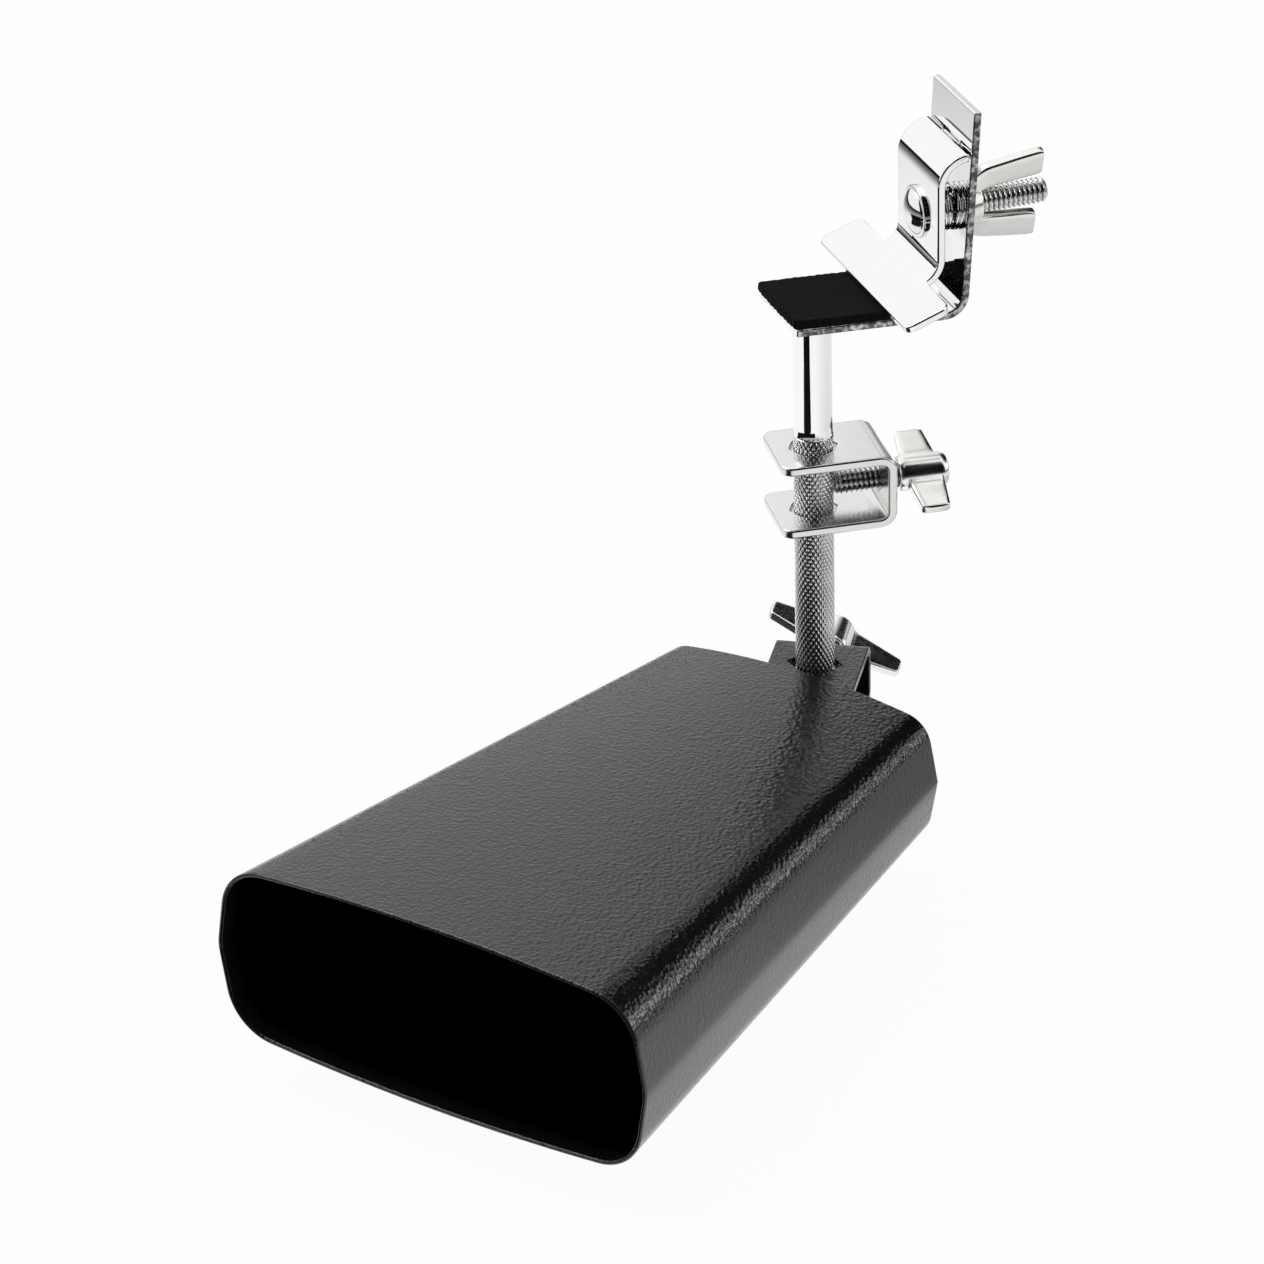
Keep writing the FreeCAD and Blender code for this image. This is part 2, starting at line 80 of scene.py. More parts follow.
# The clamp, in degrees and millimetres.
STRIP_TILT = 3.7  # how far the clamp strip's base leans from level
STRIP_THICK = 2.0
ROD_GAP = 0.3573  # from the rod's flat top up to the strip's sloping underside, on the rod's axis
FELT_SPAN = (-9.7, 29.3)  # along the strip, from the rod's axis
FELT_WIDTH = 25.2
FELT_THICK = 2.2
FELT_CORNER = 2.0
NUT_TURN = 15.0  # how far the wing nut is turned on its bolt
NUT_HUB = 4.5  # length of the wing nut's hub

# The bell and the wing screws, in millimetres.
END_PLATE = 1.5  # thickness of the plate that closes the bell
BORE_GAP = 0.05  # clearance round a thread
WING_FROM = 2.4  # where a wing starts, from its screw's axis
# Turn of each wing screw in degrees, reach of its wings, their half width at root and at tip.
WINGS = {"arm": (-74.0, 14.2, 4.7, 3.5), "bell": (-66.0, 18.1, 6.4, 3.1)}

# The stage, in metres and degrees.
SLIDE_ROOM = 0.0108  # the bell slides down 10 mm, and the floor lies a little lower
CAMERA_TURNS = (-0.61887116, 0.49493940, -0.02652629)  # yaw, pitch and roll in radians
CAMERA_AT = (0.7204377733, -1.0896056788, 0.6146178282)
CAMERA_LENS = 170.886  # in millimetres, on a sensor 36 mm wide


# ---------------------------------------------------------------- sizes and colours


def length(label, words, value):
    """A length property, kept in metres and given here in millimetres."""
    return bpy.props.FloatProperty(
        name=label, description=words, default=value * MM, unit="LENGTH", precision=5
    )


def colour(label, words, value):
    return bpy.props.FloatVectorProperty(
        name=label, description=words, default=value, size=3, subtype="COLOR", min=0.0, max=1.0
    )


def number(label, words, value):
    return bpy.props.FloatProperty(name=label, description=words, default=value)


class CowbellBellSizes(bpy.types.PropertyGroup):
    """The bell's shell."""

    wall: length("Wall", "Thickness of the sheet", 1.2)
    mouth_y: length("Mouth", "Where the rim stands along the bell's axis", -163.4)
    tail_y: length("Closed end", "Where the closed end stands along the bell's axis", -8.0)
    centre_z: length("Height", "Height of the bell's axis above the clamp strip", -115.4)
    mouth_width: length("Mouth half width", "At the seam", 61.5)
    mouth_height: length("Mouth half height", "At the crown", 25.1)
    mouth_slant: length("Mouth slant", "How far the side leans in", 3.8)
    mouth_rise: length("Mouth crown rise", "Rise of the crown's arc", 2.8)
    mouth_shoulder: length("Mouth shoulder", "Radius of the shoulder", 13.5)
    tail_width: length("End half width", "At the seam", 41.2)
    tail_height: length("End half height", "At the crown", 19.2)
    tail_slant: length("End slant", "How far the side leans in", 3.2)
    tail_rise: length("End crown rise", "Rise of the crown's arc", 3.4)
    tail_shoulder: length("End shoulder", "Radius of the shoulder", 8.0)
    seam: length("Seam", "How far the edge at the ground-down seam is rounded", 1.6)
    seam_inside: length("Seam inside", "Height of the seam bead on the inside", 0.55)
    coat: colour("Coat", "Black powder coat", (0.0068, 0.0066, 0.0056))
    grain: length("Grain", "Size of the coat's orange peel", 0.95)


class CowbellRodSizes(bpy.types.PropertyGroup):
    """The support rod."""

    plain: length("Plain diameter", "Diameter above the knurl", 9.5)
    knurled: length("Knurled diameter", "Diameter over the knurl's crests", 9.9)
    knurl_top: length("Knurl top", "Where the knurl starts, below the clamp strip", -34.0)
    pitch: length("Knurl pitch", "Width of a diamond round the rod", 1.2)
    depth: length("Knurl depth", "Depth of the grooves", 0.3)
    angle: number("Knurl angle", "Angle between a groove and the rod, in degrees", 30.0)
    chamfer: length("Chamfer", "At the lower end", 1.0)


class CowbellScrewSizes(bpy.types.PropertyGroup):
    """Threads, nut, spring and wing screws."""

    thread: length("Thread", "Outer diameter", 6.35)
    pitch: length("Pitch", "Thread pitch", 1.27)
    depth: length("Depth", "Depth of the thread", 0.62)
    head: length("Bolt head", "Diameter of the domed head", 13.0)
    head_rise: length("Head rise", "Height of the domed head", 3.2)
    wire: length("Wire", "Diameter of the spring's wire", 1.3)
    coil: length("Coil", "Mean diameter of the spring", 10.4)
    hub: length("Hub", "Diameter of a wing screw's hub", 8.8)
    wing: length("Wing", "Thickness of a wing", 2.5)


class CowbellFinishes(bpy.types.PropertyGroup):
    """Colours of the metals and the felt."""

    chrome: colour("Chrome", "Bright chrome plate", (0.94, 0.945, 0.95))
    satin: colour("Satin", "Brushed chrome of the arm bracket", (0.82, 0.825, 0.81))
    cast: colour("Cast chrome", "Plated casting", (0.93, 0.93, 0.905))
    screw: colour("Screw", "Plated screws", (0.86, 0.86, 0.85))
    felt: colour("Felt", "Black felt", (0.0045, 0.0045, 0.0045))
    floor: colour("Floor", "Studio floor", (0.9, 0.9, 0.9))


GROUPS = (
    ("cowbell_bell", CowbellBellSizes),
    ("cowbell_rod", CowbellRodSizes),
    ("cowbell_screw", CowbellScrewSizes),
    ("cowbell_finish", CowbellFinishes),
)


# ---------------------------------------------------------------- meshes


def grid_faces(rows, columns, wrap_rows, wrap_columns):
    """Quads between neighbouring points of a grid, row by row."""
    i = np.arange(rows if wrap_rows else rows - 1)[:, None]
    j = np.arange(columns if wrap_columns else columns - 1)[None, :]
    here = i * columns
    below = (i + 1) % rows * columns
    beside = (j + 1) % columns
    corners = (here + j, below + j, below + beside, here + beside)
    return np.stack(np.broadcast_arrays(*corners), -1).reshape(-1, 4)


def closed_surface(points, ends=True, wrap_rows=False):
    """(vertices, quads, triangles) of a grid of rings, its two ends closed with fans.

    Faces are turned round where the volume they enclose comes out negative."""
    rows, columns = points.shape[:2]
    verts = points.reshape(-1, 3)
    quads = grid_faces(rows, columns, wrap_rows, True)
    fans = np.zeros((0, 3), int)
    if ends and not wrap_rows:
        j = np.arange(columns)
        k = (j + 1) % columns
        last = (rows - 1) * columns
        first_mid = np.full(columns, len(verts))
        last_mid = first_mid + 1
        verts = np.vstack([verts, points[0].mean(0), points[-1].mean(0)])
        one = np.stack([j, k, first_mid], -1)
        two = np.stack([last + k, last + j, last_mid], -1)
        fans = np.vstack([one, two])
    tris = np.vstack([quads[:, [0, 1, 2]], quads[:, [0, 2, 3]], fans])
    a, b, c = (verts[tris[:, n]] for n in range(3))
    if np.einsum("ij,ij->i", a, np.cross(b, c)).sum() < 0:
        quads = quads[:, ::-1]
        fans = fans[:, ::-1]
    return verts, quads, fans


def linked(name, data):
    """A new object on a mesh, lamp or camera, linked to the scene."""
    made = bpy.data.objects.new(name, data)
    bpy.context.scene.collection.objects.link(made)
    return made


def mark(mesh, name, domain, values):
    """Stores one number for each point or face of a mesh, for a material to read."""
    layer = mesh.attributes.new(name, "FLOAT", domain)
    layer.data.foreach_set("value", np.array(values, np.float32))


def box_mm(name):
    """The lowest and highest corner of a CAD node's box, in mm."""
    return (np.array(corner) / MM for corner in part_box(name))


def unit(vectors):
    """Each row divided by its own length."""
    return vectors / np.linalg.norm(vectors, axis=1)[:, None]


def half_turned(surface):
    """The same surface after half a turn about the local x."""
    verts, quads, fans = surface
    return verts * np.array([1.0, -1.0, -1.0]), quads, fans


def make_piece(name, surfaces, body, finish, nodes, values=None, sharp=40.0):
    """One object from several closed surfaces, in row-frame metres, riding on a body.

    The values are groove numbers, one for each vertex of the first surfaces; the rest get none.
    The finishes paint shade with them, in grooves and inside the bell."""
    verts = []
    faces = []
    base = 0
    for points, quads, fans in surfaces:
        verts.append(points)
        faces += (quads + base).tolist() + (fans + base).tolist()
        base += len(points)
    mesh = bpy.data.meshes.new(name)
    mesh.from_pydata((np.vstack(verts) * MM).tolist(), [], faces)
    mesh.update()
    mesh.shade_smooth()
    mesh.set_sharp_from_angle(angle=math.radians(sharp))
    if values is not None:
        filled = np.zeros(len(mesh.vertices))
        filled[: len(values)] = values
        mark(mesh, "groove", "POINT", filled)
    piece = linked(name, mesh)
    mesh.materials.append(finish_named(finish))
    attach(piece, body)
    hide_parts(*nodes)
    return piece


def turn_matrix(angle, axis):
    """Rotation by an angle in degrees about x, y or z, as a matrix."""
    c = math.cos(math.radians(angle))
    s = math.sin(math.radians(angle))
    i, j = {"x": (1, 2), "y": (2, 0), "z": (0, 1)}[axis]
    out = np.eye(3)
    out[i, i] = out[j, j] = c
    out[j, i] = s
    out[i, j] = -s
    return out


class Place:
    """A local frame: x along a direction in the level plane, z up, at a point of the row frame."""

    def __init__(self, at, direction):
        x = np.array(direction, float)
        x /= np.linalg.norm(x)
        z = np.array([0.0, 0.0, 1.0])
        self.axes = np.stack([x, np.cross(z, x), z])
        self.at = np.array(at, float)

    def put(self, surface, turn=0.0, tilt=0.0):
        """Turns a surface about the local x, tilts it about the local y, and carries it there."""
        verts, quads, fans = surface
        local = verts @ turn_matrix(turn, "x").T @ turn_matrix(tilt, "y").T
        return local @ self.axes + self.at, quads, fans


def joint_place(name):
    """The frame whose x is a joint's axis, at the foot of that axis by the rod."""
    joint = JOINTS[name]
    axis = np.array(joint["axis"], float)
    at = np.array(joint["pos_m"], float) / MM
    return Place(at - axis * (at @ axis), axis)


def ring_angles(steps):
    """Angles evenly round a full turn."""
    return np.arange(steps) * 2 * np.pi / steps


def revolved(profile, around=64, tube=False):
    """Turns a profile of (x, radius) pairs about the x axis. A tube's profile is a closed loop."""
    x, r = np.array(profile, float).T[:, :, None]
    a = ring_angles(around)
    grid = np.stack([np.broadcast_to(x, (len(x), around)), r * np.cos(a), r * np.sin(a)], -1)
    return closed_surface(grid, ends=not tube, wrap_rows=tube)


def rounded(corners, radius, steps=5):
    """A polyline whose inner corners are bent round as parabolas. Each bend starts and ends a
    radius away from its corner, or less where the line is short."""
    corners = [np.array(c, float) for c in corners]
    t = np.linspace(0, 1, steps)[:, None]
    out = [corners[0]]
    for before, here, after in zip(corners, corners[1:], corners[2:]):
        one, two = before - here, after - here
        far_one, far_two = np.linalg.norm(one), np.linalg.norm(two)
        bend = min(radius, 0.45 * far_one, 0.45 * far_two)
        start = here + one / far_one * bend
        end = here + two / far_two * bend
        out += list((1 - t) ** 2 * start + 2 * t * (1 - t) * here + t * t * end)
    out.append(corners[-1])
    return np.array(out)


def superellipse(half_a, half_b, power, around):
    """Points (a, b) round a rounded rectangle: each is a power of the cosine and the sine."""
    a = ring_angles(around) + np.pi / around
    one, two = (np.sign(wave) * np.abs(wave) ** power for wave in (np.cos(a), np.sin(a)))
    return half_a[:, None] * one, half_b[:, None] * two


def lofted(path, half_width, half_thick, power=0.35, around=48):
    """A rounded bar along a path in the xz plane: its width lies across the path in that plane
    and its thickness along y. The section at each step is a superellipse."""
    path = np.array(path, float)
    step = unit(np.gradient(path, axis=0))
    across = np.stack([-step[:, 1], step[:, 0]], -1)
    a, b = superellipse(np.array(half_width), np.array(half_thick), power, around)
    x, z = (path[:, n : n + 1] + across[:, n : n + 1] * a for n in (0, 1))
    return closed_surface(np.stack([x, b, z], -1))


def eased(points, steps):
    """A smooth path through a few points: Catmull-Rom, worked out for all steps at once."""
    p = np.array(points, float)
    p = np.vstack([2 * p[0] - p[1], p, 2 * p[-1] - p[-2]])
    t = np.linspace(0, len(p) - 3 - 1e-9, steps)
    i = t.astype(int)
    f = (t - i)[:, None]
    a, b, c, d = (p[i + n] for n in range(4))
    return 0.5 * (
        2 * b + (c - a) * f + (2 * a - 5 * b + 4 * c - d) * f**2 + (3 * b - a - 3 * c + d) * f**3
    )


def tip_round(steps, reach, least):
    """Shares of the full width along a bar: one, then a quarter of a superellipse over the last
    reach, down to the least share."""
    s = np.linspace(0, 1, steps)
    curve = np.sqrt(np.clip(1 - np.clip((s - 1 + reach) / reach, 0, 0.999) ** 2.5, 0, 1))
    return least + (1 - least) * curve


def carried(path, side, other, size, around):
    """A round section carried along a path: at each step the sum of its two cross directions,
    weighted by the cosine and the sine, times the size there."""
    a = ring_angles(around)[None, :, None]
    ring = np.cos(a) * side[:, None] + np.sin(a) * other[:, None]
    return path[:, None] + np.broadcast_to(size, len(path))[:, None, None] * ring


def threaded(start, end, sizes, blunt=0.8, around=48, per_turn=12):
    """A screw thread along x, with its groove's depth at each point in shares. The radius falls
    from the crest to the root with the distance from the helix, in shares of a turn, with flats
    at crest and root; both ends are chamfered."""
    radius, pitch = sizes.thread / MM / 2, sizes.pitch / MM
    rows = int((end - start) / pitch * per_turn) + 1
    x = np.linspace(start, end, rows)[:, None]
    a = ring_angles(around)
    phase = (x / pitch - a / (2 * np.pi)) % 1.0
    groove = np.clip((np.abs(2 * phase - 1) - 0.14) / 0.74, 0, 1)
    limit = np.minimum(x - start, end - x) + radius - blunt
    r = np.minimum(radius - sizes.depth / MM * groove, limit)
    grid = np.stack([np.broadcast_to(x, r.shape), r * np.cos(a), r * np.sin(a)], -1)
    # the groove shares also go to the finish, which paints shade in the thread's grooves with them
    return closed_surface(grid), groove.ravel()


# ---------------------------------------------------------------- materials


class Nodes:
    """Strings shader nodes together in one tree."""

    def __init__(self, owner):
        owner.use_nodes = True
        self.tree = owner.node_tree

    def node(self, kind, **settings):
        made = self.tree.nodes.new(kind)
        for key, value in settings.items():
            setattr(made, key, value)
        return made

    def link(self, output, socket):
        self.tree.links.new(output, socket)

    def remap(self, source, low, high, to_low, to_high):
        made = self.node("ShaderNodeMapRange")
        keys = ("From Min", "From Max", "To Min", "To Max")
        for key, value in zip(keys, (low, high, to_low, to_high)):
            made.inputs[key].default_value = value
        self.link(source, made.inputs["Value"])
        return made.outputs["Result"]

    def maths(self, how, one, two):
        made = self.node("ShaderNodeMath", operation=how)
        for socket, value in zip(made.inputs, (one, two)):
            if isinstance(value, (int, float)):
                socket.default_value = value
            else:
                self.link(value, socket)
        return made.outputs[0]


class Finish(Nodes):
    """One material, with the helpers that its patterns need."""

    def __init__(self, name):
        self.material = bpy.data.materials.new(name)
        super().__init__(self.material)
        self.shader = self.tree.nodes["Principled BSDF"]
        self.where = self.node("ShaderNodeTexCoord").outputs["Object"]

    def dial(self, name, value):
        """Sets one of the shader's own sockets."""
        self.shader.inputs[name].default_value = value

    def marks(self, name):
        """The numbers stored on the mesh under a name."""
        return self.node("ShaderNodeAttribute", attribute_name=name).outputs["Fac"]

    def noise(self, size, detail=3.0, rough=0.55, stretch=None):
        """Noise whose grains are about a size across, in metres."""
        made = self.node("ShaderNodeTexNoise")
        made.inputs["Scale"].default_value = 1.0 / size
        made.inputs["Detail"].default_value = detail
        made.inputs["Roughness"].default_value = rough
        source = self.where
        if stretch:
            mapping = self.node("ShaderNodeMapping")
            mapping.inputs["Scale"].default_value = stretch
            self.link(self.where, mapping.inputs["Vector"])
            source = mapping.outputs["Vector"]
        self.link(source, made.inputs["Vector"])
        return made.outputs["Fac"]

    def cells(self, size):
        """The smoothed distance to the nearest of points about a size apart, in metres."""
        made = self.node("ShaderNodeTexVoronoi", feature="SMOOTH_F1")
        made.inputs["Scale"].default_value = 1.0 / size
        self.link(self.where, made.inputs["Vector"])
        return made.outputs["Distance"]

    def ramp(self, source, stops):
        """The base colour, from (position, tone) stops."""
        made = self.node("ShaderNodeValToRGB")
        ramp = made.color_ramp
        while len(ramp.elements) < len(stops):
            ramp.elements.new(0.5)
        for element, (position, tone) in zip(ramp.elements, stops):
            element.position = position
            element.color = (*tone, 1.0)
        self.link(source, made.inputs["Fac"])
        self.link(made.outputs["Color"], self.shader.inputs["Base Color"])

    def bumps(self, layers):
        """Bump nodes one after another, each (height, distance in metres, strength)."""
        last = None
        for height, distance, strength in layers:
            made = self.node("ShaderNodeBump")
            made.inputs["Distance"].default_value = distance
            made.inputs["Strength"].default_value = strength
            self.link(height, made.inputs["Height"])
            if last:
                self.link(last, made.inputs["Normal"])
            last = made.outputs["Normal"]
        self.link(last, self.shader.inputs["Normal"])


def shade(tone, factor):
    """A tone made darker or lighter, up to white."""
    return tuple(min(1.0, c * factor) for c in tone)


def chrome(name, tone, low, high, ripple=0.1, grooved=0.0, patch=0.006):
    """Bright plate: a mirror with faint polishing streaks, cloudy patches and a little ripple.
    Its roughness goes from low to high with patches times streaks. Where it is grooved, the
    mesh's groove numbers make it duller and paint shade on it as a darker colour, more so on
    some patches; on a strip's cut faces the same numbers paint dark reflections."""
    finish = Finish(name)
    finish.dial("Metallic", 1.0)
    cloud = finish.noise(patch, 4.0)
    streak = finish.noise(0.0016, 3.0, 0.6, (0.25, 0.25, 1.6))
    rough = finish.remap(finish.maths("MULTIPLY", cloud, streak), 0.12, 0.42, low, high)
    if grooved:
        groove = finish.marks("groove")
        rough = finish.maths("ADD", rough, finish.maths("MULTIPLY", groove, 0.18))
        # painted shade: the groove numbers darken the base colour in grooves and on cut faces,
        # more on some patches
        painted_shade = finish.maths("MULTIPLY", groove, finish.remap(cloud, 0.3, 0.7, grooved, 1.0))
        finish.ramp(painted_shade, ((0.25, tone), (0.6, shade(tone, 0.6)), (1.0, shade(tone, 0.1))))
    else:
        finish.ramp(cloud, ((0.3, shade(tone, 0.97)), (0.7, tone)))
    finish.link(rough, finish.shader.inputs["Roughness"])
    finish.bumps([(finish.noise(0.0035, 1.0), 0.00004, ripple), (streak, 0.00001, ripple)])
    return finish.material


def powder_coat(name, tone, grain):
    """Black powder coat: leathery cells with fine pitting between them, semi-gloss, greyer in
    broad patches, and with painted shade inside the bell, a darker colour there. The cells
    fade on steep sides: their height is times a share that rises with the size of the surface
    normal's z."""
    finish = Finish(name)
    cells = finish.cells(grain)
    broad = finish.noise(grain * 1.15, 2.0)
    fine = finish.noise(grain * 0.3, 2.0)
    patch = finish.noise(0.03, 3.0)
    split = finish.node("ShaderNodeSeparateXYZ")
    finish.link(finish.node("ShaderNodeNewGeometry").outputs["Normal"], split.inputs["Vector"])
    level = finish.maths("ABSOLUTE", split.outputs["Z"], 0.0)
    cells = finish.maths("MULTIPLY", cells, finish.remap(level, 0.1, 0.4, 0.3, 1.2))
    patch = finish.maths("MULTIPLY", patch, 0.4)
    grey = finish.maths("ADD", finish.maths("MULTIPLY", broad, 0.6), patch)
    # painted shade inside the bell: its marks take half off the grey before the ramp
    inside = finish.maths("MULTIPLY", finish.marks("groove"), 0.5)
    grey = finish.maths("SUBTRACT", grey, inside)
    stops = ((0.15, 0.1), (0.3, 0.7), (0.52, 1.0), (0.75, 1.7))
    finish.ramp(grey, [(position, shade(tone, factor)) for position, factor in stops])
    rough = finish.remap(finish.maths("ADD", broad, fine), 0.6, 1.4, 0.09, 0.17)
    finish.link(rough, finish.shader.inputs["Roughness"])
    finish.dial("IOR", 1.55)
    finish.dial("Specular Tint", (1.0, 1.0, 0.95, 1.0))
    finish.bumps([(cells, 0.00022, 0.6), (broad, 0.0001, 0.4), (fine, 0.00005, 0.3)])
    return finish.material


def felt_cloth(name, tone):
    """Felt: matted fibres as fine noise at two scales, fully rough, with a faint sheen."""
    finish = Finish(name)
    fibres = finish.noise(0.0009, 6.0, 0.7)
    mat = finish.noise(0.0003, 4.0, 0.7)
    finish.ramp(fibres, ((0.25, shade(tone, 0.4)), (0.5, tone), (0.8, shade(tone, 2.6))))
    finish.dial("Roughness", 1.0)
    finish.dial("Specular IOR Level", 0.05)
    finish.dial("Sheen Weight", 0.03)
    finish.dial("Sheen Roughness", 0.6)
    finish.bumps([(fibres, 0.0004, 0.8), (mat, 0.0002, 0.6)])
    return finish.material


# For each plate: the property with its tone, its lowest and highest roughness and its ripple,
# then how dark the painted shade in its grooves is where it is lightest, and the size of its
# patches.
PLATES = {
    "chrome plate": ("chrome", 0.015, 0.05, 0.05),
    "satin chrome": ("satin", 0.17, 0.26, 0.15),
    "cast chrome": ("cast", 0.14, 0.26, 0.2),
    # painted dark reflections on the clamp strip's cut faces, set by their groove numbers
    "cut chrome": ("chrome", 0.015, 0.05, 0.05, 0.3, 0.0016),
    # these two paint shade in the grooves of the threads and of the knurl
    "plated screw": ("screw", 0.06, 0.14, 0.1, 0.75),
    "knurled chrome": ("chrome", 0.02, 0.06, 0.05, 0.7),
}


def finish_named(name):
    """A finish by its name, made once and looked up after that."""
    made = bpy.data.materials.get(name)
    if made:
        return made
    looks = bpy.context.scene.cowbell_finish
    if name in PLATES:
        tone, *dials = PLATES[name]
        return chrome(name, getattr(looks, tone), *dials)
    if name == "black felt":
        return felt_cloth(name, looks.felt)
    bell = bpy.context.scene.cowbell_bell
    return powder_coat(name, bell.coat, bell.grain)


# ---------------------------------------------------------------- bell


def bell_sizes(share):
    """The section's sizes at each share of the way from the closed end to the mouth."""
    sizes = bpy.context.scene.cowbell_bell
    names = ("width", "height", "slant", "rise", "shoulder")
    tail = [getattr(sizes, "tail_" + n) / MM for n in names]
    mouth = [getattr(sizes, "mouth_" + n) / MM for n in names]
    return [t + (m - t) * share for t, m in zip(tail, mouth)]


def quarter_section(share, inset):
    """One quarter of the bell's section for a column of shares and insets, as (x, z) arrays.

    A straight side leans in by the slant, an arc of the shoulder's radius touches it and the
    crown, and the crown is a wide arc through the top. An inset moves all three inwards."""
    wide, high, slant, rise, shoulder = bell_sizes(share)
    flank = np.hypot(slant, high - rise)
    up_x, up_z = -slant / flank, (high - rise) / flank
    in_x, in_z = -(high - rise) / flank, -slant / flank
    chord = wide - slant
    crown = (chord * chord + rise * rise) / (2 * rise)
    centre = high - crown
    qx = wide + shoulder * in_x
    qz = shoulder * in_z - centre
    dot = qx * up_x + qz * up_z
    reach = -dot + np.sqrt(dot * dot + (crown - shoulder) ** 2 - qx * qx - qz * qz)
    fx = qx + reach * up_x
    fz = qz + reach * up_z + centre
    t = np.array([[0, 0.03, 0.06, 0.1, 0.16, 0.26, 0.42, 0.6, 0.8]])
    low_x = wide + inset * in_x
    low_z = 0 * wide
    top_x = fx - (shoulder - inset) * in_x
    top_z = fz - (shoulder - inset) * in_z
    side = (low_x + (top_x - low_x) * t, low_z + (top_z - low_z) * t)
    first = np.arctan2(-in_z, -in_x)
    second = np.arctan2(fz - centre, fx)
    turn = first + (second - first) * np.linspace(0, 1, 17)[None, :-1]
    bend = (fx + (shoulder - inset) * np.cos(turn), fz + (shoulder - inset) * np.sin(turn))
    turn = second + (np.pi / 2 - second) * np.linspace(0, 1, 25)[None, :]
    top = ((crown - inset) * np.cos(turn), centre + (crown - inset) * np.sin(turn))
    return tuple(np.hstack(parts) for parts in zip(side, bend, top))


def whole_section(share, inset):
    """All four quarters, once round: +x, top, -x, bottom."""
    x, z = quarter_section(share, inset)
    back_x, back_z = x[:, -2::-1], z[:, -2::-1]
    half_x = np.hstack([x, -back_x])
    half_z = np.hstack([z, back_z])
    return tuple(np.hstack([half, -half[:, 1:-1]]) for half in (half_x, half_z))


def bell_shell():
    """One closed skin: closed end, weld groove, outside, round rim, inside, inner end, with a
    mark for each vertex that says whether it is inside.

    Rows run along the bell, each a whole section with its own scale, inset and place along y.
    Outside, the seam at mid height is an edge rounded as a hyperbola of the height from it.
    Inside, a bead stands up there as a bell curve of that height, wavering along the bell."""
    sizes = bpy.context.scene.cowbell_bell
    wall, tail, mouth = sizes.wall / MM, sizes.tail_y / MM, sizes.mouth_y / MM
    floor = tail - END_PLATE
    edge = 0.5
    low, high = mouth + wall / 2 + edge, tail - 2 * edge
    dip = 1 - np.cos(np.linspace(0, 2 * np.pi, 9))
    a = np.linspace(0, np.pi / 2, 5)
    b = np.linspace(0, np.pi, 11)
    c = np.linspace(0, np.pi / 2, 4)[1:]
    parts = (
        ((0.0, 0.35, 0.7, 0.9), 0.0, tail),
        (1.0, np.linspace(wall * 1.9, wall * 0.9, 9), tail - 0.2 * dip),
        (1.0, edge * (1 - np.sin(a)), tail - edge + edge * np.cos(a)),
        (1.0, 0.0, np.linspace(high, low, 70)),
        (1.0, wall / 2 * (1 - np.cos(b)), mouth + wall / 2 * (1 - np.sin(b))),
        (1.0, wall, np.linspace(low, floor - 0.6, 60)),
        (1.0, wall + edge * (1 - np.cos(c)), floor - edge + edge * np.sin(c)),
        ((0.9, 0.6, 0.3, 0.0), wall + edge, floor),
    )
    rows = np.vstack([np.column_stack(np.broadcast_arrays(*part)) for part in parts])
    scale, inset, y = rows.T[:, :, None]
    x, z = whole_section((tail - y) / (tail - mouth), inset)
    outside = inset < wall * 0.6
    wobble = 1 + 0.25 * np.sin(y * 1.9) * np.sin(y * 0.73 + 1.0)
    bead = sizes.seam_inside / MM * np.exp(-((z / 0.7) ** 2)) * wobble
    lean = sizes.mouth_slant / (sizes.mouth_height - sizes.mouth_rise)
    cut = lean * (np.hypot(z, sizes.seam / MM) - np.abs(z))
    full = (scale == 1.0) & (np.abs(y - tail) > 0.1)
    x = x - np.sign(x) * np.where(outside, cut, bead) * full
    scale = np.maximum(scale, 1e-3)
    surface = closed_surface(np.stack([x * scale, np.broadcast_to(y, x.shape), z * scale], -1))
    inside = np.broadcast_to(~outside, x.shape).ravel()
    return surface, np.append(inside, [False, True])


def weld_ripples(path, radius, closed, ripple=1.1, around=14):
    """A weld bead: a round section along a path, swelling and shrinking once a ripple. An open
    bead's ends draw in as the root of the way from the end."""
    path = np.array(path, float)
    if closed:
        step = np.roll(path, -1, 0) - np.roll(path, 1, 0)
    else:
        step = np.gradient(path, axis=0)
    travel = np.cumsum(np.linalg.norm(step, axis=1) / 2)
    step = unit(step)
    side = unit(np.cross(step, np.array([0.0, 0.0, 1.0])))
    size = radius * (1 + 0.1 * np.abs(np.sin(np.pi * travel / ripple)))
    if not closed:
        ends = np.minimum(travel - travel[0], travel[-1] - travel)
        size = size * np.sqrt(np.clip(ends / radius, 0.02, 1))
    grid = carried(path, side, np.cross(side, step), size, around)
    return closed_surface(grid, ends=not closed, wrap_rows=closed)


class COWBELL_OT_bell(bpy.types.Operator):
    """Makes the bell's shell with its rim, seams and closed end"""

    bl_idname = "cowbell.bell"
    bl_label = "Bell"

    def execute(self, context):
        sizes = context.scene.cowbell_bell
        (verts, *faces), inside = bell_shell()
        surface = (verts + np.array([0.0, 0.0, sizes.centre_z / MM + seat_height()]), *faces)
        # painted shade inside the bell: inside vertices from 1 mm past the rim, fully from 7 mm,
        # darken the coat's colour
        deep = inside * np.clip((verts[:, 1] - sizes.mouth_y / MM - 1.0) / 6.0, 0, 1)
        nodes = ("bell_shell_upper", "bell_shell_lower", "bell_end_plate")
        nodes += ("seam_weld_right", "seam_weld_left")
        make_piece("bell", [surface], "bell", "powder coat", nodes, deep)
        return {"FINISHED"}


def seat_height():
    """Height of the clamp strip's top face on the rod's axis, just under the felt, in mm."""
    rod_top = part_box("rod")[1][2] / MM
    return rod_top + STRIP_THICK / math.cos(math.radians(STRIP_TILT)) + ROD_GAP


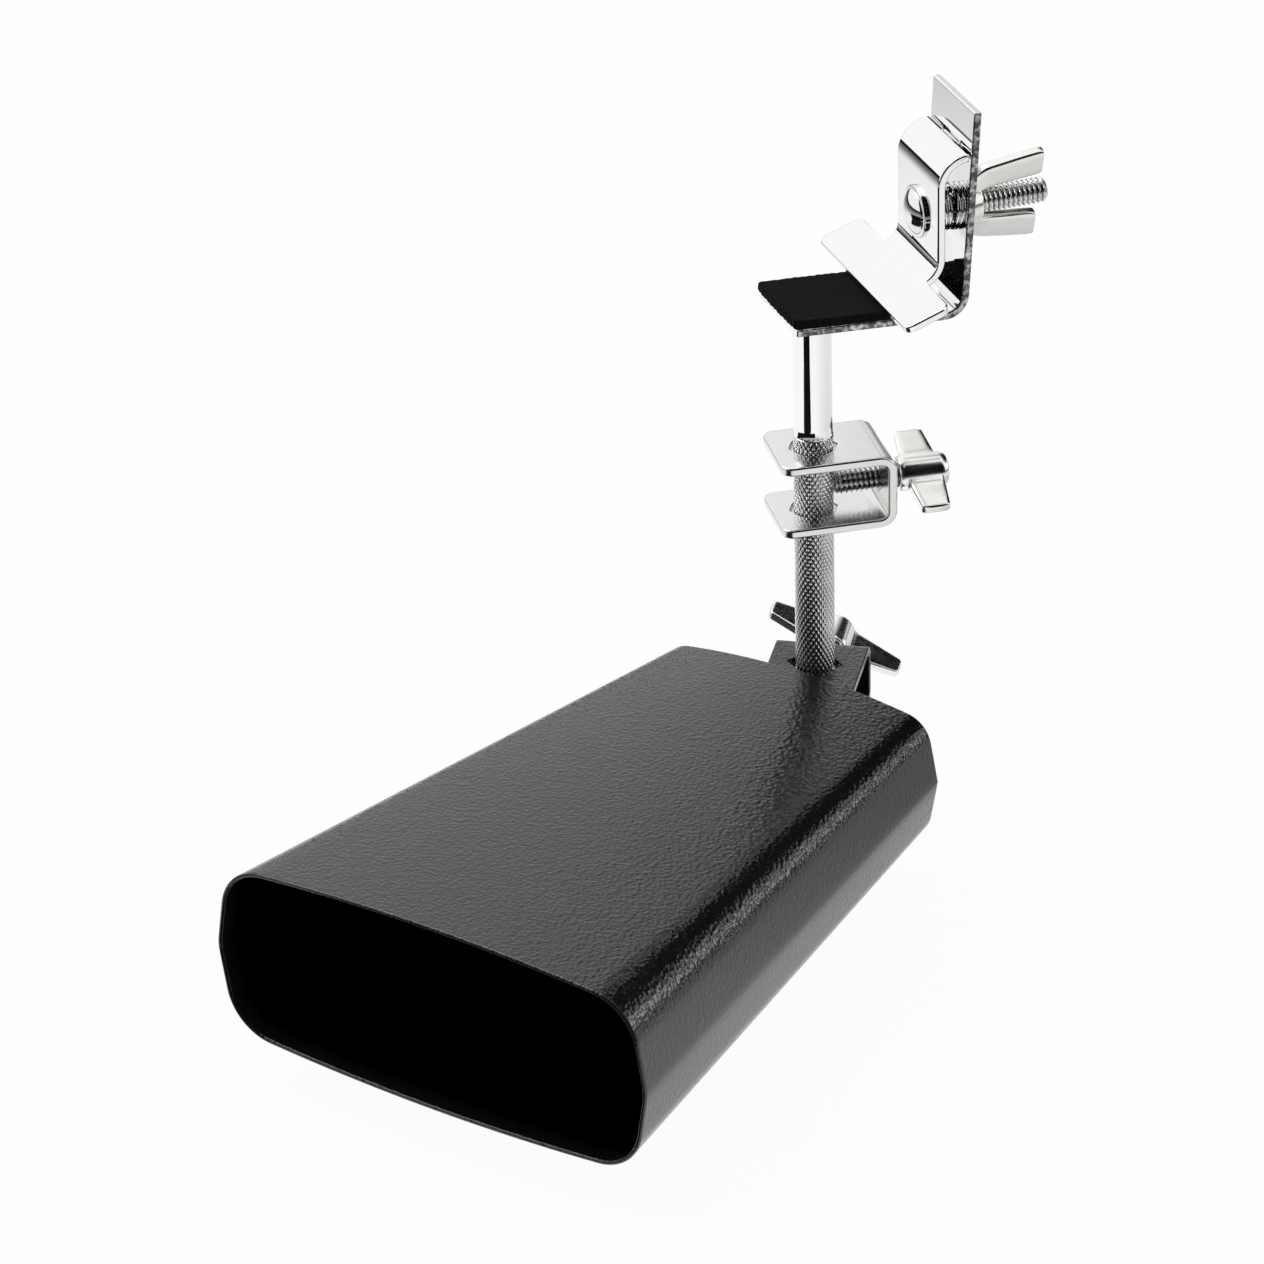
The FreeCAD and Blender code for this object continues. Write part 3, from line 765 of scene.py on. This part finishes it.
class COWBELL_OT_bracket_welds(bpy.types.Operator):
    """Makes the weld beads between the bell and its bracket, and round the top of the rod"""

    bl_idname = "cowbell.bracket_welds"
    bl_label = "Welds"

    def execute(self, context):
        steps = 150
        for name in ("bracket_weld_upper", "bracket_weld_lower"):
            low, high = box_mm(name)
            z = low[2] if name.endswith("upper") else high[2]
            x = np.linspace(low[0] + 0.3, high[0] - 0.3, steps)
            path = np.stack([x, np.full(steps, low[1] + 0.1), np.full(steps, z)], -1)
            bead = weld_ripples(path, 1.0, False)
            make_piece(name + "_bead", [bead], "bell", "powder coat", (name,))
        low, high = box_mm("rod_weld")
        radius = context.scene.cowbell_rod.plain / MM / 2 + 0.35
        a = ring_angles(160)
        lean = math.tan(math.radians(STRIP_TILT))
        along = JOINTS["nut_spin"]["axis"]
        x, y = radius * np.cos(a), radius * np.sin(a)
        z = (low[2] + high[2]) / 2 + 0.15 - lean * (x * along[0] + y * along[1])
        ring = weld_ripples(np.stack([x, y, z], -1), 0.78, True)
        nodes = ("rod_weld",)
        make_piece("rod_weld_bead", [ring], "clamp", "cast chrome", nodes)
        return {"FINISHED"}


# ---------------------------------------------------------------- rod and screws


def rod_skin(sizes):
    """The rod: rings from the top, plain and then knurled. Two families of helical V grooves
    cross; the depth at a point is the deeper of the two, so the crests are small pyramids.
    Both ends are chamfered: the radius there is the least of the skin's and the chamfer's."""
    low, high = (corner[2] for corner in box_mm("rod"))
    plain = sizes.plain / MM / 2
    full = sizes.knurled / MM / 2
    top = seat_height() + sizes.knurl_top / MM
    diamonds = int(round(2 * math.pi * full / (sizes.pitch / MM)))
    per_diamond = 8
    around = diamonds * per_diamond
    tall = 2 * math.pi * full / diamonds / math.tan(math.radians(sizes.angle))
    upper = np.concatenate([high - np.array([0, 0.15, 0.4]), np.linspace(high - 1, top + 0.4, 14)])
    lower = np.arange(top, low + 0.02, -tall / per_diamond)
    z = np.concatenate([upper, lower, [low]])[:, None]
    a = ring_angles(around)
    turns = a / (2 * np.pi) * diamonds
    one, two = (np.abs(2 * ((turns + hand * z / tall) % 1.0) - 1) for hand in (1, -1))
    groove = np.clip((np.maximum(one, two) - 0.12) / 0.88, 0, 1)
    fade = np.clip((top - z) / 0.8, 0, 1)
    r = plain + (full - plain) * np.clip((top + 0.4 - z) / 0.6, 0, 1)
    r = r - sizes.depth / MM * groove * fade
    r = np.minimum(r, full - sizes.chamfer / MM + (z - low))
    r = np.minimum(r, plain - 0.15 + (high - z))
    grid = np.stack([r * np.cos(a), r * np.sin(a), np.broadcast_to(z, r.shape)], -1)
    # the groove shares also go to the finish, which paints shade in the knurl's grooves with them
    return closed_surface(grid), (groove * fade).ravel()


class COWBELL_OT_rod(bpy.types.Operator):
    """Makes the support rod, plain above and diamond-knurled below"""

    bl_idname = "cowbell.rod"
    bl_label = "Rod"

    def execute(self, context):
        surface, groove = rod_skin(context.scene.cowbell_rod)
        look = "knurled chrome"
        make_piece("support_rod", [surface], "rod", look, ("rod",), groove, 60.0)
        return {"FINISHED"}


def reach(name, place):
    """The lowest and highest local x of a CAD node's own vertices, in mm."""
    node = frame["nodes"][name]
    points = np.zeros(len(node.data.vertices) * 3)
    node.data.vertices.foreach_get("co", points)
    x = (points.reshape(-1, 3) / MM - place.at) @ place.axes[0]
    return x.min(), x.max()


class COWBELL_OT_studs(bpy.types.Operator):
    """Makes the threaded studs of the two wing screws"""

    bl_idname = "cowbell.studs"
    bl_label = "Screw studs"

    def execute(self, context):
        sizes = context.scene.cowbell_screw
        look = "plated screw"
        for kind in WINGS:
            place = joint_place(kind + "_screw_spin")
            start, end = reach(kind + "_screw_stud", place)
            surface, groove = threaded(start, end, sizes)
            parts = [place.put(surface)]
            name = kind + "_stud"
            nodes = (kind + "_screw_stud",)
            make_piece(name, parts, name, look, nodes, groove, 60.0)
        return {"FINISHED"}


def wing_surface(start, sizes, reach_out, root, tip):
    """One wing of a cast head: a bar along the local z with a rounded tip. Its half width goes
    from root to tip with a power of the share of the way, and its thickness falls evenly, with
    a bell curve of the distance from the hub's side added."""
    steps = 46
    s = np.linspace(0, 1, steps)
    z = WING_FROM + (reach_out - WING_FROM) * s
    half = (root + (tip - root) * s**1.1) * tip_round(steps, 0.07, 0.3)
    swell = 0.6 * np.exp(-(((z - sizes.hub / MM / 2 * 0.75) / 1.5) ** 2))
    thick = sizes.wing / MM / 2 * (1.06 - 0.14 * s) + swell
    path = np.stack([np.full(steps, start + 1.6 + 4.8), z], -1)
    return lofted(path, half, thick * tip_round(steps, 0.05, 0.35), 0.3, 72)


class COWBELL_OT_heads(bpy.types.Operator):
    """Makes the cast wing heads of the two wing screws"""

    bl_idname = "cowbell.heads"
    bl_label = "Wing heads"

    def execute(self, context):
        sizes = context.scene.cowbell_screw
        look = "cast chrome"
        for kind, (turn, *shape) in WINGS.items():
            place = joint_place(kind + "_screw_spin")
            node = kind + "_screw_head"
            start, end = reach(node, place)
            hub = hub_surface(start, end, sizes.hub / MM / 2, sizes.thread / MM / 2 + BORE_GAP)
            wing = wing_surface(start, sizes, *shape)
            parts = [place.put(part, turn) for part in (hub, wing, half_turned(wing))]
            name, body = kind + "_wing_head", kind + "_head"
            make_piece(name, parts, body, look, (node,), sharp=50.0)
        return {"FINISHED"}


def hub_surface(start, end, hub, bore, deep=2.8):
    """A wing screw's hub: revolved outside, blunt nose, and a blind bore up to its inner end."""
    side = [(start, bore), (start, hub - 0.35), (start + 1.2, hub)]
    nose = [(end - 1.4, hub - 0.1), (end, hub - 0.9), (end, 0.3)]
    outside = rounded(side + nose, 0.7)[:-1]
    bottom = [(end, 0.02), (end - deep, 0.02), (end - deep, bore)]
    return revolved(np.vstack([outside, bottom]), 72, tube=True)


def bolt_head(start, seat, head):
    """The head of the bolt: an arc for the dome, a step with a small rim, a flat underside."""
    rise = seat - start
    bulge = (head**2 + rise**2) / (2 * rise)
    a = np.linspace(0.02, math.asin(0.84 * head / bulge), 16)
    dome = np.stack([start + bulge * (1 - np.cos(a)), bulge * np.sin(a)], -1)
    step = [(seat - 0.9, 0.85 * head), (seat - 0.85, head), (seat - 0.03, head)]
    rim = rounded([dome[-1], *step], 0.3)
    return revolved(np.vstack([dome[:-1], rim, [(seat - 0.01, 0.1)]]), 72)


class COWBELL_OT_jaw_bolt(bpy.types.Operator):
    """Makes the jaw's domed bolt, its spring and its wing nut"""

    bl_idname = "cowbell.jaw_bolt"
    bl_label = "Jaw bolt, spring and nut"

    def execute(self, context):
        sizes = context.scene.cowbell_screw
        look = "plated screw"
        place = joint_place("nut_spin")
        start, end = reach("jaw_bolt", place)
        seat = start + sizes.head_rise / MM
        radius = sizes.thread / MM / 2
        shank, groove = threaded(seat - 0.5, end, sizes)
        head = bolt_head(start, seat, sizes.head / MM / 2)
        path = [(seat + x, 0.0) for x in (-0.2, 0.4, 1.4, 1.95)]
        neck = lofted(path, [radius] * 4, [radius] * 4, 0.15, 40)
        parts = [place.put(part) for part in (shank, head, neck)]
        make_piece("hinge_bolt", parts, "jaw", look, ("jaw_bolt",), groove, 60.0)
        start, end = reach("jaw_spring", place)
        wire = sizes.wire / MM / 2
        spring = coil_surface(start + wire, end - wire, sizes.coil / MM / 2, wire, 4.0)
        parts = [place.put(spring)]
        make_piece("coil_spring", parts, "jaw", look, ("jaw_spring",))
        start = reach("wing_nut", place)[0]
        parts = [place.put(part, NUT_TURN) for part in wing_nut_surfaces(start, radius)]
        look = "cast chrome"
        make_piece("clamp_wing_nut", parts, "nut", look, ("wing_nut",), sharp=50.0)
        return {"FINISHED"}


def coil_surface(start, end, radius, wire, turns):
    """A compression spring: a round wire round a helix. Its rise along x is even over the
    middle turns and nothing over the first and last 0.7 of a turn, which lie flat."""
    flat = 0.7
    t = np.linspace(0, 1, int(turns * 60))
    x = start + (end - start) * np.clip((t * turns - flat) / (turns - 2 * flat), 0, 1)
    a = 2 * np.pi * turns * t
    path = np.stack([x, radius * np.cos(a), radius * np.sin(a)], -1)
    step = unit(np.gradient(path, axis=0))
    out = np.stack([0 * a, np.cos(a), np.sin(a)], -1)
    return closed_surface(carried(path, out, unit(np.cross(step, out)), wire, 16))


def ruled_bar(inner, outer, half_thick, power=0.4, around=64):
    """A bar between two edge curves in the xz plane: each section is a superellipse whose width
    runs from the inner point to the outer point and whose thickness lies along y."""
    one, two = superellipse(np.ones(len(inner)), np.array(half_thick), power, around)
    centre = (inner + outer) / 2
    half = (outer - inner) / 2
    x, z = (centre[:, n : n + 1] + half[:, n : n + 1] * one for n in (0, 1))
    return closed_surface(np.stack([x, two, z], -1))


def wing_nut_surfaces(start, radius):
    """A wing nut: a tapered hub and two horns. Each horn is a ruled bar between its inner and
    outer edge curves; it leaves the hub outwards and bends to run along the bolt."""
    bore = radius + BORE_GAP
    hub_end = start + NUT_HUB
    taper = [(start, 5.75), (start + 1.4, 5.7), (hub_end, 4.8)]
    hub = revolved(rounded([(start, bore), *taper, (hub_end, bore)], 0.6), 72, tube=True)
    inner = [(4.2, 2.9), (4.4, 3.8), (6.4, 4.3), (9.2, 4.7)]
    inner += [(12.4, 5.1), (15.8, 5.4), (19, 5.8), (20.4, 6.2)]
    outer = [(1.6, 3.0), (1.9, 6.3), (2.6, 8.9), (5.5, 10.5)]
    outer += [(9.6, 11.3), (14.4, 12.1), (18.8, 12.7), (20.4, 12.6)]
    steps = 90
    inner, outer = (eased(edge, steps) + (start, 0.0) for edge in (inner, outer))
    middle = (inner + outer) / 2
    close = tip_round(steps, 0.05, 0.25)[:, None]
    inner, outer = (middle + (edge - middle) * close for edge in (inner, outer))
    thick = np.interp(np.linspace(0, 1, steps), [0, 0.15, 0.4, 1], [2.5, 2.0, 1.55, 1.4])
    horn = ruled_bar(inner, outer, thick * tip_round(steps, 0.05, 0.3))
    return [hub, horn, half_turned(horn)]


# ---------------------------------------------------------------- bent strips and felt


def softened(node_name, width, finish, body, side=None):
    """A copy of a CAD node with its loose triangles merged and its sharp outer edges rounded
    over. Faces square to a side, where the strip was cut, are marked with groove numbers that
    paint dark reflections on them."""
    sharp_angle = math.radians(40)
    cut_edge_shade = 1.35
    mesh = bpy.data.meshes.new(node_name + "_finished")
    shape = bmesh.new()
    shape.from_mesh(frame["nodes"][node_name].data)
    bmesh.ops.remove_doubles(shape, verts=shape.verts, dist=2e-6)
    bmesh.ops.dissolve_limit(
        shape, angle_limit=math.radians(0.6), verts=shape.verts, edges=shape.edges
    )
    weight = shape.edges.layers.float.new("bevel_weight_edge")
    for edge in shape.edges:
        sharp = len(edge.link_faces) == 2 and edge.calc_face_angle(0.0) > sharp_angle
        edge[weight] = float(sharp and edge.is_convex)
    shape.to_mesh(mesh)
    shape.free()
    piece = linked(node_name + "_finished", mesh)
    if side is not None:
        normals = np.empty(3 * len(mesh.polygons))
        mesh.polygons.foreach_get("normal", normals)
        cut = np.abs(normals.reshape(-1, 3) @ side) > 0.9
        # painted dark reflection on the cut faces, through the finish's groove numbers
        mark(mesh, "groove", "FACE", cut_edge_shade * cut)
    mesh.materials.clear()
    mesh.materials.append(finish_named(finish))
    mesh.shade_smooth()
    mesh.set_sharp_from_angle(angle=math.radians(35))
    bevel = piece.modifiers.new("rounded edges", "BEVEL")
    bevel.width = width
    bevel.segments = 3
    bevel.use_clamp_overlap = False
    bevel.limit_method = "WEIGHT"
    bevel.harden_normals = True
    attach(piece, body)
    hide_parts(node_name)


class COWBELL_OT_strips(bpy.types.Operator):
    """Makes the bent strips: clamp, jaw and the two brackets, with rounded edges"""

    bl_idname = "cowbell.strips"
    bl_label = "Bent strips"

    def execute(self, context):
        side = np.array(JOINTS["jaw_hinge"]["axis"], float)
        # the clamp strip's cut faces get painted dark reflections
        softened("clamp_strip", 0.45 * MM, "cut chrome", "clamp", side)
        softened("upper_jaw", 0.5 * MM, "chrome plate", "jaw")
        softened("arm_bracket", 0.6 * MM, "satin chrome", "arm")
        softened("bell_bracket", 0.35 * MM, "powder coat", "bell")
        softened("jaw_washer", 0.15 * MM, "plated screw", "washer")
        return {"FINISHED"}


def felt_surface(length_of, width, thick, corner):
    """The felt pad: rings of a rounded rectangle, widening under the bottom, bulging round the
    edge as a sine of the way up it, and shrinking over the top.

    The edge is ragged by a sum of sines along it, and the top dips and rises by sums of sines
    of x and y, whose pitches don't divide each other, so no pattern shows."""
    a = ring_angles(320)
    hx, hy = length_of / 2 - corner, width / 2 - corner
    reach_x = np.clip(np.cos(a) * (hx + corner) * 1.5, -hx, hx)
    reach_y = np.clip(np.sin(a) * (hy + corner) * 1.5, -hy, hy)
    out = np.stack([reach_x + corner * np.cos(a), reach_y + corner * np.sin(a)], -1)
    edge = np.sin(a * 61) + 0.8 * np.sin(a * 97 + 1.3)
    edge = (edge + 0.6 * np.sin(a * 149 + 0.4) + 0.7 * np.sin(a * 23 + 2.0)) * 0.09
    b = np.linspace(0, np.pi, 9)
    flat = np.zeros(34)
    shares = (np.linspace(0.02, 0.96, 34), np.ones(9), np.linspace(0.96, 0.02, 34))
    swells = (flat, np.sin(b) * 0.3 - 0.3, flat)
    levels = (flat, thick * (1 - np.cos(b)) / 2, flat + thick)
    share, swell, level = (np.concatenate(c)[:, None] for c in (shares, swells, levels))
    grown = swell + edge * (share > 0.9)
    norm = unit(out)
    x, y = (out[:, n] * share + norm[:, n] * grown for n in (0, 1))
    ripple = (
        np.sin(x * 3.1 + 1.7 * np.sin(y * 2.3)) * np.sin(y * 3.7 + 1.1 * np.sin(x * 1.9))
        + 0.6 * np.sin(x * 7.3 + y * 5.1) * np.sin(y * 8.9 - x * 3.3)
    ) * 0.05
    upper = level > thick * 0.5
    z = level + ripple * upper - 0.06 * upper
    return closed_surface(np.stack([x, y, z], -1))


class COWBELL_OT_felt(bpy.types.Operator):
    """Makes the felt pad on the clamp's base"""

    bl_idname = "cowbell.felt"
    bl_label = "Felt pad"

    def execute(self, context):
        place = joint_place("nut_spin")
        place.at = np.array([0.0, 0.0, seat_height()])
        low, high = FELT_SPAN
        verts, *faces = felt_surface(high - low, FELT_WIDTH, FELT_THICK, FELT_CORNER)
        verts = verts + np.array([(low + high) / 2, 0.0, 0.0])
        parts = [place.put((verts, *faces), tilt=STRIP_TILT)]
        nodes = ("felt_pad",)
        piece = make_piece("felt_lining", parts, "clamp", "black felt", nodes, sharp=180.0)
        return {"FINISHED"}


# ---------------------------------------------------------------- stage


def world_light():
    """White to the camera, to mirrors and through glass; a plain level on everything else."""
    world = bpy.data.worlds.new("studio")
    bpy.context.scene.world = world
    nodes = Nodes(world)
    back = nodes.tree.nodes["Background"]
    path = nodes.node("ShaderNodeLightPath").outputs
    seen = nodes.maths("MAXIMUM", path["Is Camera Ray"], path["Is Glossy Ray"])
    seen = nodes.maths("MAXIMUM", seen, path["Is Transmission Ray"])
    back.inputs["Color"].default_value = (1.0, 1.0, 1.0, 1.0)
    nodes.link(nodes.remap(seen, 0.0, 1.0, 0.62, 1.0), back.inputs["Strength"])


def floor_sheet(tone):
    """A wide square that shows white and keeps a faint shadow, with room above it for the
    bell's slide."""
    low = CAD_BOX[0][2] - SLIDE_ROOM
    half = 3.0
    corners = [(x, y, low) for x in (-half, half) for y in (-half, half)]
    mesh = bpy.data.meshes.new("floor")
    mesh.from_pydata(corners, [], [(0, 2, 3, 1)])
    piece = linked("floor", mesh)
    finish = Finish("pale floor")
    finish.ramp(finish.noise(0.2), ((0.3, shade(tone, 0.985)), (0.7, tone)))
    finish.dial("Roughness", 0.9)
    finish.dial("Specular IOR Level", 0.0)
    glow = finish.node("ShaderNodeEmission")
    glow.inputs["Color"].default_value = (1.0, 1.0, 1.0, 1.0)
    path = finish.node("ShaderNodeLightPath")
    seen = finish.maths("MAXIMUM", path.outputs["Is Camera Ray"], path.outputs["Is Glossy Ray"])
    blend = finish.node("ShaderNodeMixShader")
    finish.link(finish.maths("MULTIPLY", seen, 0.96), blend.inputs["Fac"])
    finish.link(finish.shader.outputs[0], blend.inputs[1])
    finish.link(glow.outputs[0], blend.inputs[2])
    out = finish.tree.nodes["Material Output"]
    finish.link(blend.outputs[0], out.inputs["Surface"])
    mesh.materials.append(finish.material)


def flag(name, verts, faces, dark):
    """A dark card that only polished surfaces see, as dark at each point as it is told."""
    verts = verts.reshape(-1, 3)
    mesh = bpy.data.meshes.new(name)
    mesh.from_pydata(verts.tolist(), [], faces.tolist())
    mark(mesh, "dark", "POINT", np.broadcast_to(dark, len(verts)))
    piece = linked(name, mesh)
    finish = Finish(name)
    finish.ramp(finish.noise(0.1), ((0.3, (0.004, 0.004, 0.004)), (0.7, (0.008, 0.008, 0.008))))
    finish.dial("Roughness", 1.0)
    finish.dial("Specular IOR Level", 0.0)
    finish.link(finish.marks("dark"), finish.shader.inputs["Alpha"])
    mesh.materials.append(finish.material)
    piece.visible_camera = piece.visible_diffuse = piece.visible_shadow = False
    piece.visible_transmission = False


def sky_patch(name, east, up, distance, soft=1):
    """A dark patch of a sphere about the rod: a grid over a range of bearings, in degrees from
    +y towards +x, and a range of heights above the level, in degrees. Its left side fades in
    over a number of columns."""
    rows, columns = 13, 25
    e = np.radians(np.linspace(*east, columns))[None, :]
    u = np.radians(np.linspace(*up, rows))[:, None]
    z = np.broadcast_to(np.sin(u), (rows, columns))
    grid = distance * np.stack([np.sin(e) * np.cos(u), np.cos(e) * np.cos(u), z], -1)
    dark = np.clip(np.linspace(0, columns, columns) / soft, 0, 1)
    flag(name, grid, grid_faces(rows, columns, False, False), np.tile(dark, rows))


def flags():
    """The dark surroundings that the chrome shows.

    The table is rings round the rod, clear near it and darker with the distance, with a low
    upright edge at the horizon; on one bearing, the east side, it is also a little dark close
    to the rod. On the table lie a front card before the bell's mouth and a wide card, a sector
    behind the camera's side. Above it stand two patches behind the bell, and the dark side of
    the room."""
    around = 96
    a = ring_angles(around)
    low = CAD_BOX[0][2] + 0.0005
    radii = np.concatenate([np.linspace(0.04, 1.0, 27), np.linspace(1.2, 2.9, 10), [2.9]])[:, None]
    grid = np.empty((len(radii), around, 3))
    grid[..., 0] = radii * np.cos(a)
    grid[..., 1] = radii * np.sin(a)
    grid[..., 2] = low
    grid[-1, :, 2] = 0.05
    east = np.clip(np.cos(a - math.radians(49.0)), 0.0, 1.0)
    near = radii * (1.0 - 0.25 * east)
    steps = (0.16, 0.33, 0.43, 0.58, 0.9, 2.2, 3.0)
    dark = np.interp(near, steps, (0, 0.02, 0.2, 0.5, 0.8, 0.97, 1))
    close = np.interp(radii, (0.04, 0.06, 0.17, 0.24), (0, 0.4, 0.4, 0.2))
    dark = np.maximum(dark, east * close)
    flag("table edge", grid, grid_faces(len(radii), around, False, True), dark.ravel())
    corners = np.array([(-0.062, -0.172), (0.062, -0.172), (0.125, -0.4), (-0.125, -0.4)])
    card = np.column_stack([corners, np.full(4, low + 0.0005)])
    flag("front card", card, np.array([[0, 1, 2, 3]]), 1.0)
    turns = np.radians(np.linspace(135.0, 245.0, 24))
    sector = np.full((2, 24, 3), low + 0.001)
    for row, distance in zip(sector, (0.29, 0.55)):
        row[:, 0] = distance * np.sin(turns)
        row[:, 1] = distance * np.cos(turns)
    flag("wide card", sector, grid_faces(2, 24, False, False), 1.0)
    sky_patch("low back card", (-20.0, 18.0), (4.0, 19.0), 1.5, 3)
    sky_patch("back card", (-34.0, 46.0), (19.0, 52.0), 1.5, 7)
    sky_patch("dark room", (80.0, 205.0), (1.0, 78.0), 2.4)


def posed(name, data, axes, at):
    """An object on a lamp or camera, from its three axes as columns and its place."""
    matrix = np.eye(4)
    matrix[:3, :3] = np.stack(axes, -1)
    matrix[:3, 3] = at
    made = linked(name, data)
    made.matrix_world = matrix.T
    return made


def lamp(name, at, toward, size, power):
    """A rectangular lamp at a place, facing another, level from side to side."""
    data = bpy.data.lights.new(name, "AREA")
    data.shape = "RECTANGLE"
    data.size, data.size_y = size
    data.energy = power
    z = np.array(at, float) - np.array(toward, float)
    z /= np.linalg.norm(z)
    x = np.cross((0.0, 0.0, 1.0), z)
    x /= np.linalg.norm(x)
    posed(name, data, (x, np.cross(z, x), z), at).visible_camera = False


def camera():
    """The camera, from its place, its three turns and its lens."""
    yaw, pitch, roll = CAMERA_TURNS
    data = bpy.data.cameras.new("camera")
    data.sensor_width = 36.0
    data.lens = CAMERA_LENS
    data.clip_start, data.clip_end = 0.05, 20.0
    ahead = np.array(
        [math.sin(yaw) * math.cos(pitch), math.cos(yaw) * math.cos(pitch), -math.sin(pitch)]
    )
    right = np.array([math.cos(yaw), -math.sin(yaw), 0.0])
    up = np.cross(right, ahead)
    c, s = math.cos(roll), math.sin(roll)
    axes = (c * right + s * up, c * up - s * right, -ahead)
    bpy.context.scene.camera = posed("camera", data, axes, CAMERA_AT)


class COWBELL_OT_stage(bpy.types.Operator):
    """Makes the floor, the light and the camera"""

    bl_idname = "cowbell.stage"
    bl_label = "Stage"

    def execute(self, context):
        context.scene.view_settings.view_transform = "Standard"
        world_light()
        floor_sheet(context.scene.cowbell_finish.floor)
        flags()
        middle = (0.0, -0.05, -0.06)
        lamp("key", (-0.9, -0.2, 1.3), middle, (0.9, 0.9), 9.0)
        lamp("rim", (1.05, 1.15, 0.2), middle, (0.7, 0.08), 1.0)
        camera()
        return {"FINISHED"}


# ---------------------------------------------------------------- add-on


OPERATORS = (
    COWBELL_OT_bell,
    COWBELL_OT_bracket_welds,
    COWBELL_OT_rod,
    COWBELL_OT_studs,
    COWBELL_OT_heads,
    COWBELL_OT_jaw_bolt,
    COWBELL_OT_strips,
    COWBELL_OT_felt,
    COWBELL_OT_stage,
)


class COWBELL_PT_panel(bpy.types.Panel):
    """Lists the steps that build the cowbell"""

    bl_idname = "COWBELL_PT_panel"
    bl_label = "Cowbell"
    bl_space_type = "VIEW_3D"
    bl_region_type = "UI"
    bl_category = "Cowbell"

    def draw(self, context):
        for operator in OPERATORS:
            self.layout.operator(operator.bl_idname)


def register():
    for name, group in GROUPS:
        bpy.utils.register_class(group)
        setattr(bpy.types.Scene, name, bpy.props.PointerProperty(type=group))
    for item in (*OPERATORS, COWBELL_PT_panel):
        bpy.utils.register_class(item)


def unregister():
    for item in reversed((*OPERATORS, COWBELL_PT_panel)):
        bpy.utils.unregister_class(item)
    for name, group in reversed(GROUPS):
        delattr(bpy.types.Scene, name)
        bpy.utils.unregister_class(group)


def main():
    register()
    for operator in OPERATORS:
        family, step = operator.bl_idname.split(".")
        getattr(getattr(bpy.ops, family), step)()


if __name__ == "__main__":
    main()
